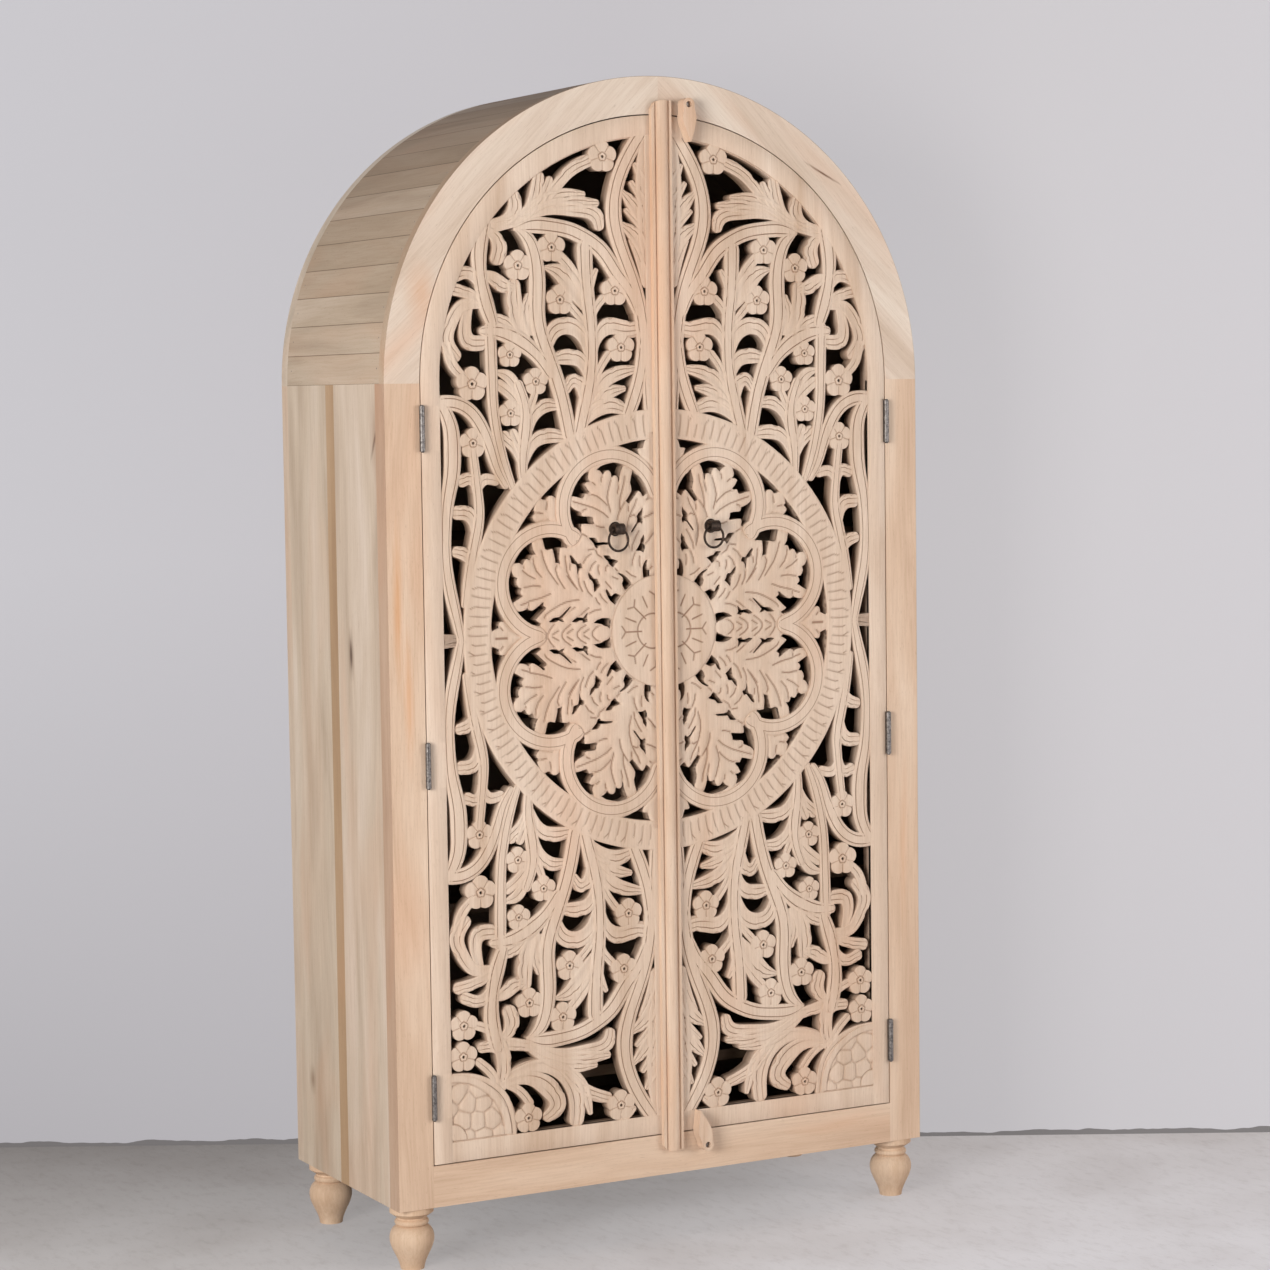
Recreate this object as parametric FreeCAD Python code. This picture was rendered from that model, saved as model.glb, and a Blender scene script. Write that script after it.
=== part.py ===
import FreeCAD, Part
import math
import os
from FreeCAD import Vector

# Tall cabinet with a round arched top and two carved, pierced doors, on four turned feet.
# Millimetres. X runs to the right, Y to the back, Z up from the floor. Every piece is drawn with the
# front face of the carcass on Y = 0 and moved at the end, so that the origin is below the middle.

os.makedirs("parts", exist_ok=True)

# Overall sizes
carcass_width = 1000.0
carcass_depth = 430.0
spring_height = 1437.0
foot_height = 104.0

# Face frame and posts
post_width = 62.0
front_post_depth = 36.0
rear_post_depth = 25.0
rail_height = 68.0
arch_thickness = 19.0

# Boards
board_thickness = 14.0
back_thickness = 8.0
shelf_thickness = 18.0
side_board_shares = (0.30, 0.16, 0.09, 0.45)
back_board_count = 6
stave_count = 32
rib_depth = 18.0
rib_height = 30.0
seat_gap = 0.3

# Shelves and the pieces under them
shelf_count = 4
shelf_height_shares = (0.08, 0.315, 0.55, 0.785)
shelf_setback = 20.0
cleat_size = 20.0
foot_block_width = 66.0
foot_block_height = 50.0

# Feet, turned
front_foot_inset = 38.0
rear_foot_inset = 50.0
collar_radius = 36.0
neck_radius = 24.0
bead_radius = 28.0
bulb_radius = 36.5
base_radius = 19.5
dowel_radius = 11.0
dowel_length = 40.0
foot_level_shares = (0.905, 0.825, 0.8, 0.75, 0.7, 0.51, 0.0)
foot_swell_shares = (0.8, 0.55)

# Doors
door_thickness = 25.0
door_gap = 2.0
meeting_gap = 3.0
arch_drop = 2.0
lap_gap = 0.6
border_width = 33.0
meeting_border = 26.0

# Strip over the meeting of the doors
astragal_width = 38.0
astragal_thickness = 15.0
astragal_shift = 1.0
astragal_low = 26.0
astragal_high = 22.0
bead_width = 8.0
bead_depth = 5.0

# Butt hinges
hinge_length = 72.0
leaf_width = 22.0
leaf_thickness = 1.8
leaf_gap = 0.3
knuckle_radius = 4.5
knuckle_count = 5
knuckle_gap = 0.4
pin_radius = 2.2
pin_running_gap = 0.05
pin_cap_radius = 3.6
pin_cap_height = 2.0
top_hinge_drop = 72.0
bottom_hinge_rise = 111.0
screw_radius = 2.0
screw_length = 20.0
screw_head_radius = 3.6
screw_head_depth = 1.4
hinge_screw_shares = (-0.36, 0.0, 0.36)
hinge_screw_setback = 13.0

# Ring pulls
pull_offset = 90.0
pull_height = 1195.0
pull_plate_radius = 12.0
pull_plate_height = 3.0
pull_axis_out = 11.0
pull_eye_radius = 9.4
pull_eye_width = 18.0
pull_hole_radius = 2.6
pull_shank_radius = 2.5
pull_nut_radius = 8.0
pull_nut_height = 4.0
pull_pad_radius = 19.0
ring_radius = 18.0
ring_wire_radius = 2.0

# Turn buttons
top_button_offset = 46.0
top_button_rise = 16.0
top_button_tilt = 3.0
bottom_button_offset = 60.0
bottom_button_drop = 22.0
bottom_button_tilt = 13.0
button_reach = 61.0
button_head_width = 21.0
button_width = 25.0
button_side_shares = ((0.17, 0.43), (0.34, 0.5), (0.61, 0.37), (0.84, 0.17), (0.97, 0.05))
button_thickness = 20.0
button_hole_gap = 0.05
button_sink_radius = 5.2
button_sink_depth = 9.0
washer_radius = 6.0
washer_thickness = 1.5
button_screw_radius = 2.2
button_screw_bite = 14.0
button_head_radius = 4.6
button_head_height = 2.5

# Small fixings
nail_radius = 1.2
nail_length = 26.0
nail_inset = 9.0
stop_width = 40.0
stop_height = 16.0
stop_gap = 0.4
overrun = 5.0

# The carving is drawn on a grid of parts: so many across half the doors, and so many from the middle
# of the ring up to the crown. Heights count from the floor, with the ring's middle at middle_shares.
# Inside the ring's own height a part is as long upwards as across, so the ring stays round.
across_shares = 436
rise_shares = 852
middle_shares = 1022
ring_outer_shares = 368

# Each stroke is a run of points: across, height, width.
stem_shares = (
    ((30, 1846, 24), (60, 1800, 26), (82, 1740, 27), (83, 1700, 29), (73, 1660, 27), (55, 1615, 26),
     (38, 1560, 26), (30, 1500, 26)),
    ((30, 1510, 24), (38, 1450, 24), (56, 1395, 24), (66, 1372, 20)),
    ((24, 1500, 22), (24, 1430, 20), (20, 1375, 20)),
    ((262, 1684, 8), (235, 1690, 24), (200, 1689, 26), (165, 1683, 26), (135, 1670, 27), (108, 1651, 28),
     (79, 1612, 27), (58, 1586, 24), (42, 1552, 18)),
    ((262, 1684, 6), (244, 1672, 20), (229, 1640, 26), (225, 1590, 29), (225, 1535, 28), (210, 1485, 28),
     (188, 1425, 27), (171, 1350, 26)),
    ((322, 1519, 16), (298, 1518, 24), (256, 1502, 30), (228, 1480, 24), (206, 1452, 22)),
    ((311, 1524, 20), (310, 1480, 20), (309, 1430, 19), (307, 1390, 18), (300, 1345, 18), (288, 1300, 16),
     (276, 1268, 12)),
    ((410, 1402, 24), (380, 1404, 24), (350, 1391, 24), (328, 1362, 24), (313, 1326, 20), (302, 1294, 16),
     (288, 1270, 12)),
    ((400, 1402, 22), (385, 1370, 26), (381, 1330, 29), (383, 1290, 28), (392, 1245, 24), (396, 1200, 20),
     (396, 1150, 20), (389, 1100, 22), (378, 1052, 18), (372, 1022, 14)),
    ((345, 1325, 14), (342, 1300, 15), (338, 1262, 16), (336, 1225, 18), (344, 1180, 20), (355, 1130, 18),
     (364, 1080, 12)),
    ((153, 1350, 24), (143, 1390, 26), (132, 1440, 25), (128, 1490, 22), (130, 1540, 24), (136, 1595, 26),
     (138, 1655, 28)),
    ((320, 1690, 26), (328, 1650, 28), (326, 1600, 24), (318, 1565, 28), (308, 1535, 22)),
    ((256, 1276, 14), (256, 1320, 20), (250, 1360, 24), (251, 1400, 18), (262, 1432, 16)),
)

# Leaf lobes, in groups: the leaf in the pointed arch, the spray over the scroll, the leaves of the
# trunk, the fan beside the outer stem, the spray under the arch, the low fan, the leaves at the hinges.
leaf_shares = (
    ((20, 1850, 16), (26, 1800, 26), (26, 1740, 34), (24, 1680, 30), (22, 1600, 22)),
    ((28, 1765, 18), (43, 1792, 8)),
    ((30, 1735, 16), (49, 1762, 9)),
    ((30, 1700, 18), (50, 1730, 22), (66, 1746, 10)),
    ((32, 1690, 14), (60, 1717, 8)),
    ((26, 1645, 20), (48, 1680, 24), (66, 1692, 12)),
    ((26, 1600, 16), (38, 1640, 14), (52, 1668, 8)),
    ((222, 1718, 14), (190, 1752, 18), (165, 1778, 20), (118, 1800, 18)),
    ((262, 1696, 16), (215, 1728, 22), (170, 1741, 20), (140, 1742, 10)),
    ((262, 1694, 14), (200, 1722, 20), (150, 1728, 22), (116, 1728, 12)),
    ((262, 1698, 12), (195, 1718, 20), (148, 1717, 24), (114, 1704, 24), (111, 1692, 18)),
    ((318, 1684, 22), (285, 1692, 20), (240, 1700, 16)),
    ((146, 1590, 16), (166, 1622, 18), (188, 1645, 16)),
    ((142, 1560, 14), (166, 1597, 32), (192, 1618, 22), (209, 1622, 8)),
    ((138, 1530, 12), (166, 1560, 14)),
    ((133, 1480, 16), (146, 1514, 24), (172, 1528, 28), (198, 1518, 26), (207, 1496, 18)),
    ((133, 1440, 16), (150, 1472, 24), (175, 1477, 25), (196, 1474, 16)),
    ((140, 1395, 18), (146, 1428, 24), (162, 1438, 22), (174, 1424, 14)),
    ((136, 1570, 16), (128, 1600, 16), (118, 1618, 8)),
    ((129, 1520, 12), (122, 1553, 13), (106, 1572, 14)),
    ((126, 1470, 14), (117, 1508, 18), (97, 1527, 28), (70, 1524, 26), (36, 1526, 18)),
    ((126, 1425, 12), (113, 1458, 13), (97, 1480, 14)),
    ((127, 1400, 14), (104, 1438, 24), (76, 1451, 22), (48, 1456, 12)),
    ((127, 1395, 14), (98, 1418, 22), (70, 1424, 10)),
    ((146, 1368, 14), (120, 1390, 24), (92, 1397, 26), (70, 1390, 18)),
    ((236, 1520, 16), (246, 1550, 20), (240, 1574, 14)),
    ((250, 1512, 20), (265, 1550, 28), (268, 1592, 24)),
    ((262, 1510, 16), (286, 1534, 20), (306, 1540, 16)),
    ((328, 1592, 14), (346, 1612, 20), (374, 1606, 20)),
    ((324, 1568, 14), (350, 1580, 18), (386, 1588, 20)),
    ((326, 1562, 14), (358, 1560, 20), (379, 1535, 22), (389, 1505, 26), (374, 1480, 22)),
    ((345, 1562, 10), (355, 1530, 20), (350, 1503, 26), (328, 1500, 24), (311, 1500, 16)),
    ((388, 1495, 16), (377, 1463, 17), (358, 1444, 14)),
    ((324, 1684, 10), (303, 1674, 18), (292, 1655, 26), (296, 1637, 24)),
    ((324, 1610, 12), (308, 1606, 20), (289, 1594, 24), (272, 1590, 14)),
    ((255, 1395, 12), (266, 1428, 18), (284, 1448, 18), (297, 1452, 10)),
    ((254, 1385, 12), (272, 1413, 18), (296, 1432, 18)),
    ((258, 1300, 10), (270, 1330, 18), (288, 1347, 22)),
    ((256, 1310, 10), (266, 1340, 16), (272, 1354, 14)),
    ((250, 1372, 12), (240, 1398, 14), (233, 1415, 12)),
    ((247, 1350, 14), (236, 1380, 18), (213, 1398, 22), (192, 1397, 14)),
    ((254, 1305, 14), (230, 1343, 22), (206, 1349, 24), (180, 1346, 16)),
    ((340, 1262, 14), (350, 1282, 20), (364, 1279, 20)),
    ((338, 1262, 12), (326, 1280, 18), (306, 1278, 16)),
    ((342, 1190, 16), (356, 1226, 24), (374, 1228, 22)),
    ((346, 1140, 16), (360, 1160, 22), (376, 1165, 18)),
    ((410, 1022, 24), (372, 1022, 18)),
)

# Curled lobes under the arch, and the growth out of the corner below
arch_leaf_shares = (
    ((306, 1692, 14), (274, 1702, 20), (263, 1720, 24), (267, 1742, 18)),
    ((270, 1696, 16), (240, 1712, 20), (225, 1740, 24), (220, 1768, 20)),
    ((232, 1712, 14), (212, 1738, 16), (200, 1764, 12)),
)
corner_leaf_shares = (
    ((412, 309, 14), (375, 306, 16), (338, 292, 18), (308, 262, 18), (295, 200, 16)),
    ((322, 372, 22), (308, 330, 26), (313, 288, 22)),
    ((306, 330, 14), (322, 352, 20), (346, 354, 18)),
    ((316, 284, 12), (333, 312, 15), (352, 330, 14)),
    ((308, 350, 14), (328, 378, 16), (358, 392, 14)),
    ((316, 286, 12), (262, 293, 22), (222, 268, 32), (212, 240, 30), (228, 226, 20)),
    ((300, 300, 14), (240, 312, 22), (195, 290, 28), (175, 250, 30), (176, 214, 26)),
    ((305, 288, 12), (280, 274, 14), (262, 252, 14)),
    ((192, 300, 16), (164, 272, 16), (154, 240, 14), (150, 222, 8)),
    ((92, 206, 16), (80, 212, 16), (70, 219, 12)),
)
corner_quarter_shares = (404, 206, 107)

# Flowers: across, height, radius
flower_shares = (
    (199, 1655, 25), (260, 1625, 25), (84, 1585, 25), (185, 1570, 25), (74, 1492, 25),
    (277, 1481, 21), (231, 1437, 22), (345, 1434, 28), (277, 1386, 22), (345, 1339, 24),
)
corner_flower_shares = ((104, 1804, 26), (379, 393, 25), (381, 342, 25), (265, 227, 25), (93, 228, 26))
flower_notch_share = 0.8
flower_petals = 5

# Gaps inside the ring, on one door above its middle: across, and up from the middle. The first lie
# between the ring and the two round straps, the next around the upper leaf, then around the bud between
# both leaves, inside the outer strap, and the last beside the level bud.
ring_gap_shares = (
    ((29, 317.5), (50, 315), (70, 311), (82, 308.5), (70, 305), (60, 301), (50, 295.5), (41, 289), (43, 296),
     (44.5, 301), (43, 303), (35, 303.5), (33.5, 308), (31.5, 315)),
    ((174, 267), (180, 262), (190, 256), (200, 248), (210, 240), (219, 232), (225, 224.5), (221, 223),
     (215, 222.5), (212.5, 226.5), (209, 229), (204, 229), (200, 226.5), (197, 224.5), (195, 229), (191, 239),
     (187, 249), (181, 259)),
    ((235.5, 215.5), (240, 210.5), (246, 203), (253, 194), (260, 184.5), (268.5, 171), (262.5, 174), (255, 178.5),
     (247, 182.5), (240, 185), (233.5, 186), (238, 190.5), (240.3, 195), (238, 199), (234.5, 202), (238, 206)),
    ((309.4, 76), (311.5, 68), (313.5, 58), (315.5, 46), (316.8, 36), (317.5, 24), (316.3, 12), (310, 15),
     (304.5, 17.5), (304.5, 22), (303, 26), (299, 27.6), (293, 26), (296, 33), (300, 40.5), (304, 50), (307, 61)),
    ((71.5, 275.5), (80, 280), (90, 281), (102, 279), (113, 276), (122, 270), (116, 268), (112, 264),
     (110.5, 261), (107, 265), (103, 268), (99, 268), (95.5, 264), (94, 256), (91, 258.5), (88, 259.5),
     (85, 259), (82.5, 255), (81.5, 247), (80, 250), (79, 257), (76, 267), (73.5, 273)),
    ((54.5, 268), (50, 262), (40, 255), (33, 245), (28, 235), (27.5, 230), (31, 227), (35, 223.5), (38, 225),
     (40, 230), (44, 233), (47.5, 230), (53, 223), (58, 217), (62, 212), (65, 214), (68, 217), (64, 223),
     (60, 229), (57.5, 234), (58, 240), (60, 247), (58.5, 256), (56, 263)),
    ((134, 267.5), (142, 265), (150, 260), (158, 252), (164, 244), (169, 235), (171, 228), (160, 226),
     (152, 224), (147, 223), (145, 227), (143, 231), (136, 230.5), (134.5, 233), (139, 238), (142, 243),
     (144, 247), (140, 249.5), (134, 250), (137, 254), (137.5, 259), (136, 264)),
    ((172.5, 214.5), (169, 210), (163, 205.5), (156, 202.5), (151, 200.5), (150, 195), (146, 193.5),
     (136, 193.5), (129.5, 192), (129, 186), (126.5, 180), (134, 180.5), (145, 181.5), (151, 181),
     (151.5, 175), (150.5, 170), (154, 167.5), (159, 170), (165, 177), (169, 187), (172, 198), (173, 208)),
    ((37.5, 207), (40, 201), (45, 196.5), (48.5, 191), (47, 187), (48, 182), (53, 175), (59, 167), (59.5, 164),
     (57, 164.5), (52, 171), (46.5, 179), (42, 181), (39, 178), (37, 179), (36.5, 185), (39, 190), (37, 195),
     (36.5, 202)),
    ((35.3, 161.6), (38, 157), (41.6, 152.6), (42, 148), (44.7, 143), (50.5, 134), (42, 133.7), (36, 131),
     (33.7, 137), (33.7, 143), (35.8, 146.3), (33.8, 153)),
    ((28.4, 119), (32.6, 118), (36.3, 112.6), (38.4, 106.3), (38.6, 100), (37.9, 92.6), (35.8, 86.5),
     (29, 88.4), (23, 89.4), (24.7, 95.8), (25.8, 101), (29.5, 102), (30, 106.3), (30.5, 112.6)),
    ((58.4, 79.2), (63.7, 86.3), (69, 91.6), (75.3, 96), (83, 99), (84.7, 98), (80, 94), (76, 91), (75, 86),
     (77.5, 81), (75.5, 75), (72, 69.5), (68, 71), (64, 75)),
    ((79, 61), (83.7, 63.2), (90, 65.8), (93, 64), (97.4, 61), (101.6, 68.4), (105.8, 72.6), (108.4, 71.6),
     (107.9, 68.4), (104.7, 61), (100.5, 53.7), (94.2, 48.4), (90.5, 45.8), (85.8, 52.6), (82.6, 56.8)),
    ((82.6, 118.4), (90, 121), (96.3, 122.6), (100.5, 128.4), (111, 128.4), (109, 124.2), (102.6, 118),
     (100.5, 113.7), (93.7, 108), (87.9, 114.7)),
    ((95, 146.5), (101, 149.5), (112, 150.5), (120, 150), (124.7, 157.5), (130, 158.5), (138, 158.5),
     (134, 154), (128, 147), (125.8, 142), (121.6, 140), (119.5, 144.5), (112, 146), (104, 146)),
    ((116.3, 78.4), (119.5, 82), (121.6, 88.4), (123.7, 90.5), (129, 90.8), (134, 97), (139.5, 102), (140, 98),
     (138, 91), (133, 87), (130.5, 82), (130, 76), (129, 68), (126, 70), (122.6, 74), (119, 77)),
    ((150, 109.5), (150.5, 113), (153, 117.5), (157.4, 116), (161.6, 121), (166.8, 127.5), (171, 131.3),
     (174.2, 130.5), (171.5, 124), (170.5, 118), (162, 114.7), (160.5, 108.4), (160, 102), (158.4, 96),
     (157, 104), (154.5, 108.5)),
    ((177.5, 152), (182.5, 155.8), (190, 159.5), (200, 162.5), (210, 163.5), (224, 164), (222, 156),
     (218.5, 142), (214, 140.5), (205, 142.5), (202.5, 134), (200.5, 125), (200, 119.5), (193, 118.5),
     (190.5, 113), (192.5, 126), (192, 136), (191, 143.5), (182, 144.3), (178, 143)),
    ((243, 155.5), (250, 151.5), (258, 145), (265, 136.5), (271, 128), (275, 120.5), (266, 121.5), (259.5, 118),
     (257.5, 121), (255, 125.5), (252, 127.3), (248.5, 126.3), (245, 124), (243.8, 129), (241.9, 133),
     (237.5, 134.5), (233, 131.5), (237, 137), (240, 142), (241, 149)),
    ((280, 110), (282.5, 102), (284.5, 95), (285.3, 83), (284, 70), (281, 58), (277.5, 57.3), (270, 61),
     (262.5, 65.5), (257.5, 67.3), (261, 68.5), (264, 72), (263.8, 76), (260.5, 80.5), (266.5, 81.5),
     (270, 86), (271, 91), (269.5, 97), (274.5, 99.5), (278, 105)),
    ((217, 46), (223, 50.5), (221.5, 55), (224.5, 55.8), (230, 51), (236, 47), (241, 44), (245, 43),
     (249, 44.5), (251.5, 47.5), (255, 45), (261, 43), (269, 42.5), (276.5, 44.8), (274, 39), (268, 32),
     (260, 26.5), (251, 22), (241, 19.5), (231.5, 17), (226, 20.8), (231, 23), (237.5, 27.5), (230, 34),
     (224, 39.5)),
    ((171, 47.3), (175, 46), (182, 40), (189, 34), (194, 30.5), (200, 30), (205, 29.5), (209, 26.5), (214, 23),
     (208, 22), (200, 22.3), (195, 25), (191, 22.5), (184, 21.5), (187, 24.5), (189, 27.5), (185, 32),
     (179, 38), (174, 43.5)),
    ((98.5, 23.3), (105, 24.8), (115, 25.3), (124, 23), (131.6, 17.5), (122, 16.5), (116, 15), (111, 12),
     (105, 10.5), (101.5, 6.8), (99.8, 13.7)),
    ((141.5, 35), (144, 34), (147, 30.5), (150.5, 27.3), (157, 28), (161.5, 28.5), (166, 26), (171.5, 21.5),
     (163.5, 20), (157, 22.5), (152, 23), (150, 18.8), (140.5, 21), (143, 25.5), (142.5, 30.5)),
)

# Worked out from the sizes above
half_width = carcass_width / 2
opening_half = half_width - post_width
door_half = opening_half - door_gap
inner_half = half_width - board_thickness
rail_top = foot_height + rail_height
door_bottom = rail_top + door_gap
door_crown = spring_height + door_half
door_middle = (door_bottom + door_crown) / 2
part_across = door_half / across_shares
ring_rise = ring_outer_shares * part_across
part_upward = (door_crown - door_middle - ring_rise) / (rise_shares - ring_outer_shares)
back_front = carcass_depth - rear_post_depth - back_thickness
floor_bottom = rail_top - shelf_thickness
hinge_axis_x = door_half + door_gap / 2
hinge_axis_y = -(knuckle_radius + lap_gap + seat_gap)
hinge_heights = (
    door_bottom + bottom_hinge_rise,
    (door_bottom + bottom_hinge_rise + spring_height - top_hinge_drop) / 2,
    spring_height - top_hinge_drop,
)
front_reach = lap_gap + pull_axis_out + pull_eye_radius
origin_y = (carcass_depth - front_reach) / 2


def box(x0, x1, y0, y1, z0, z1):
    return Part.makeBox(x1 - x0, y1 - y0, z1 - z0, Vector(x0, y0, z0))


def rod(radius, start, direction, length):
    return Part.makeCylinder(radius, length, start, direction)


def mirrored(shape):
    return shape.mirror(Vector(0, 0, 0), Vector(1, 0, 0))


def both_sides(shapes):
    return list(shapes) + [mirrored(shape) for shape in shapes]


def cut_by(shape, tools):
    return shape.cut(Part.makeCompound(list(tools)))


def arc_edge(centre, radius, low, high):
    # Arc in the XZ plane from one angle to another, counted from +X towards +Z
    ends = [low, (low + high) / 2, high]
    places = [centre + Vector(math.cos(a), 0, math.sin(a)) * radius for a in ends]
    return Part.Arc(*places).toShape()


def joined_face(edges):
    return Part.Face(Part.Wire(Part.__sortEdges__(edges)))


def arch_piece(inner, outer, low, high, y0, y1):
    # Part of a flat hoop about the spring line's middle
    centre = Vector(0, y0, spring_height)
    near = arc_edge(centre, inner, low, high)
    far = arc_edge(centre, outer, low, high)
    ends = [Part.makeLine(near.valueAt(near.FirstParameter), far.valueAt(far.FirstParameter)),
            Part.makeLine(near.valueAt(near.LastParameter), far.valueAt(far.LastParameter))]
    return joined_face([near, far] + ends).extrude(Vector(0, y1 - y0, 0))


# Carving

def grid_place(across, height):
    # A place on the drawing grid, on the door's front plane
    above = abs(height - middle_shares)
    if above <= ring_outer_shares:
        rise = above * part_across
    else:
        rise = ring_rise + (above - ring_outer_shares) * part_upward
    return Vector(across * part_across, 0, door_middle + math.copysign(rise, height - middle_shares))


def stroke(places, widths):
    # Flat shape of one stroke: as wide at each place as its width says, with round ends
    line = Part.BSplineCurve()
    line.interpolate(places)
    headings = [line.tangent(line.parameter(place))[0].normalize() for place in places]
    reaches = [heading * (width / 2) for heading, width in zip(headings, widths)]
    sides = [Vector(-reach.z, 0, reach.x) for reach in reaches]
    left = [place + side for place, side in zip(places, sides)]
    right = [place - side for place, side in zip(places, sides)]
    left_edge = Part.BSplineCurve()
    left_edge.interpolate(left)
    right_edge = Part.BSplineCurve()
    right_edge.interpolate(right[::-1])
    edges = [
        left_edge.toShape(),
        Part.Arc(left[-1], places[-1] + reaches[-1], right[-1]).toShape(),
        right_edge.toShape(),
        Part.Arc(right[0], places[0] - reaches[0], left[0]).toShape(),
    ]
    return Part.Face(Part.Wire(edges))


def grid_stroke(points):
    widths = [point[2] * part_across for point in points]
    return stroke([grid_place(point[0], point[1]) for point in points], widths)


def disc(centre, radius):
    return Part.Face(Part.Wire(Part.makeCircle(radius, centre, Vector(0, -1, 0))))


def flower(centre, radius):
    # Round petals with a notch between each two
    step = 2 * math.pi / flower_petals
    edges = []
    for petal in range(flower_petals):
        turns = [(petal - 0.5) * step, petal * step, (petal + 0.5) * step]
        reaches = [radius * flower_notch_share, radius, radius * flower_notch_share]
        places = [centre + Vector(math.sin(t), 0, math.cos(t)) * r for t, r in zip(turns, reaches)]
        edges.append(Part.Arc(*places).toShape())
    return Part.Face(Part.Wire(edges))


def upside_down(points):
    return tuple((point[0], 2 * middle_shares - point[1], point[2]) for point in points)


def growth_faces():
    # Stems, leaves and flowers outside the ring: above it, turned over below it, and the corners
    above = stem_shares + leaf_shares
    strokes = above + tuple(upside_down(points) for points in above)
    strokes += arch_leaf_shares + corner_leaf_shares
    flowers = flower_shares + upside_down(flower_shares) + corner_flower_shares
    faces = [grid_stroke(points) for points in strokes]
    faces += [flower(grid_place(across, height), radius * part_across) for across, height, radius in flowers]
    across, height, radius = corner_quarter_shares
    faces.append(disc(grid_place(across, height), radius * part_across))
    return faces


def ring_gaps():
    # Gaps above the ring's middle, and the same turned over below it
    faces = []
    for points in ring_gap_shares:
        for side in (1, -1):
            corners = [Vector(across, 0, side * up) * part_across for across, up in points]
            corners = [Vector(0, 0, door_middle) + corner for corner in corners]
            faces.append(Part.Face(Part.makePolygon(corners + corners[:1])))
    return faces


def door_outline(meeting_x, inset):
    # Right door's outline, set in by so much from its own edge but not from the meeting side. Its arch sits
    # a little low in the frame's, so the gap widens towards the crown.
    radius = door_half - inset
    low = door_bottom + inset
    spring = spring_height - arch_drop
    top = spring + math.sqrt(radius ** 2 - meeting_x ** 2)
    high = math.acos(meeting_x / radius)
    corners = [Vector(meeting_x, 0, top), Vector(meeting_x, 0, low), Vector(radius, 0, low),
               Vector(radius, 0, spring)]
    edges = [Part.makeLine(a, b) for a, b in zip(corners, corners[1:])]
    edges.append(arc_edge(Vector(0, 0, spring), radius, 0, high))
    return joined_face(edges)


def facing_front(face):
    return face if face.normalAt(0, 0).y < 0 else face.reversed()


def carved_face():
    # One face with every gap of the carving, for the door on the right
    whole = door_outline(meeting_gap / 2, 0)
    frame = whole.cut(door_outline(meeting_border, border_width))
    pad = disc(Vector(pull_offset, 0, pull_height), pull_pad_radius)
    ring = cut_by(disc(Vector(0, 0, door_middle), ring_outer_shares * part_across), ring_gaps())
    carving = frame.multiFuse(growth_faces() + ring.Faces + [pad]).common(whole)
    shell = Part.makeShell([facing_front(face) for face in carving.Faces]).removeSplitter()
    return max(shell.Faces, key=lambda face: face.Area)


# Hinges, all drawn for the right door

def hinge_bands(middle):
    # Lower and upper height of each knuckle, from the bottom up
    pitch = hinge_length / knuckle_count
    low = middle - hinge_length / 2
    return [(low + pitch * k + knuckle_gap / 2, low + pitch * (k + 1) - knuckle_gap / 2)
            for k in range(knuckle_count)]


def knuckle_rods(bands, radius, spare):
    up = Vector(0, 0, 1)
    return [rod(radius, Vector(hinge_axis_x, hinge_axis_y, low - spare), up, high - low + 2 * spare)
            for low, high in bands]


def leaf_screws(middle, side):
    # Screws of one leaf, driven away from the gap; side is 1 into the post and -1 into the door
    face_x = hinge_axis_x + side * leaf_gap / 2
    head_end = face_x + side * screw_head_depth
    along = Vector(side, 0, 0)
    screws = []
    for share in hinge_screw_shares:
        z = middle + share * hinge_length
        head = Part.makeCone(screw_head_radius, screw_radius, screw_head_depth,
                             Vector(face_x, hinge_screw_setback, z), along)
        shank = rod(screw_radius, Vector(head_end, hinge_screw_setback, z), along,
                    screw_length - screw_head_depth)
        screws.append(head.fuse(shank).removeSplitter())
    return screws


def leaf_plate(middle, side):
    near = hinge_axis_x + side * leaf_gap / 2
    far = near + side * leaf_thickness
    return box(min(near, far), max(near, far), hinge_axis_y, leaf_width,
               middle - hinge_length / 2, middle + hinge_length / 2)


def hinge_leaf(middle, side):
    # The post's leaf carries the odd knuckles, the door's leaf the even ones
    bands = hinge_bands(middle)
    own, other = (bands[0::2], bands[1::2]) if side > 0 else (bands[1::2], bands[0::2])
    plate = cut_by(leaf_plate(middle, side), knuckle_rods(other, knuckle_radius + knuckle_gap, knuckle_gap))
    leaf = plate.fuse(knuckle_rods(own, knuckle_radius, 0)).removeSplitter()
    bore = pin_radius if side > 0 else pin_radius + pin_running_gap
    whole = [(middle - hinge_length / 2, middle + hinge_length / 2)]
    return cut_by(leaf, knuckle_rods(whole, bore, overrun) + leaf_screws(middle, side))


def hinge_pin(middle):
    up = Vector(0, 0, 1)
    low = Vector(hinge_axis_x, hinge_axis_y, middle - hinge_length / 2)
    high = low + Vector(0, 0, hinge_length)
    pin = rod(pin_radius, low, up, hinge_length)
    caps = [Part.makeCone(pin_cap_radius, pin_radius, pin_cap_height, high, up),
            Part.makeCone(pin_cap_radius, pin_radius, pin_cap_height, low, Vector(0, 0, -1))]
    return pin.fuse(caps).removeSplitter()


def hinge_cuts(side):
    # Recesses and screw holes for the leaves of one side
    cuts = []
    for middle in hinge_heights:
        cuts.append(leaf_plate(middle, side))
        cuts += leaf_screws(middle, side)
    return cuts


# Carcass

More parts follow.
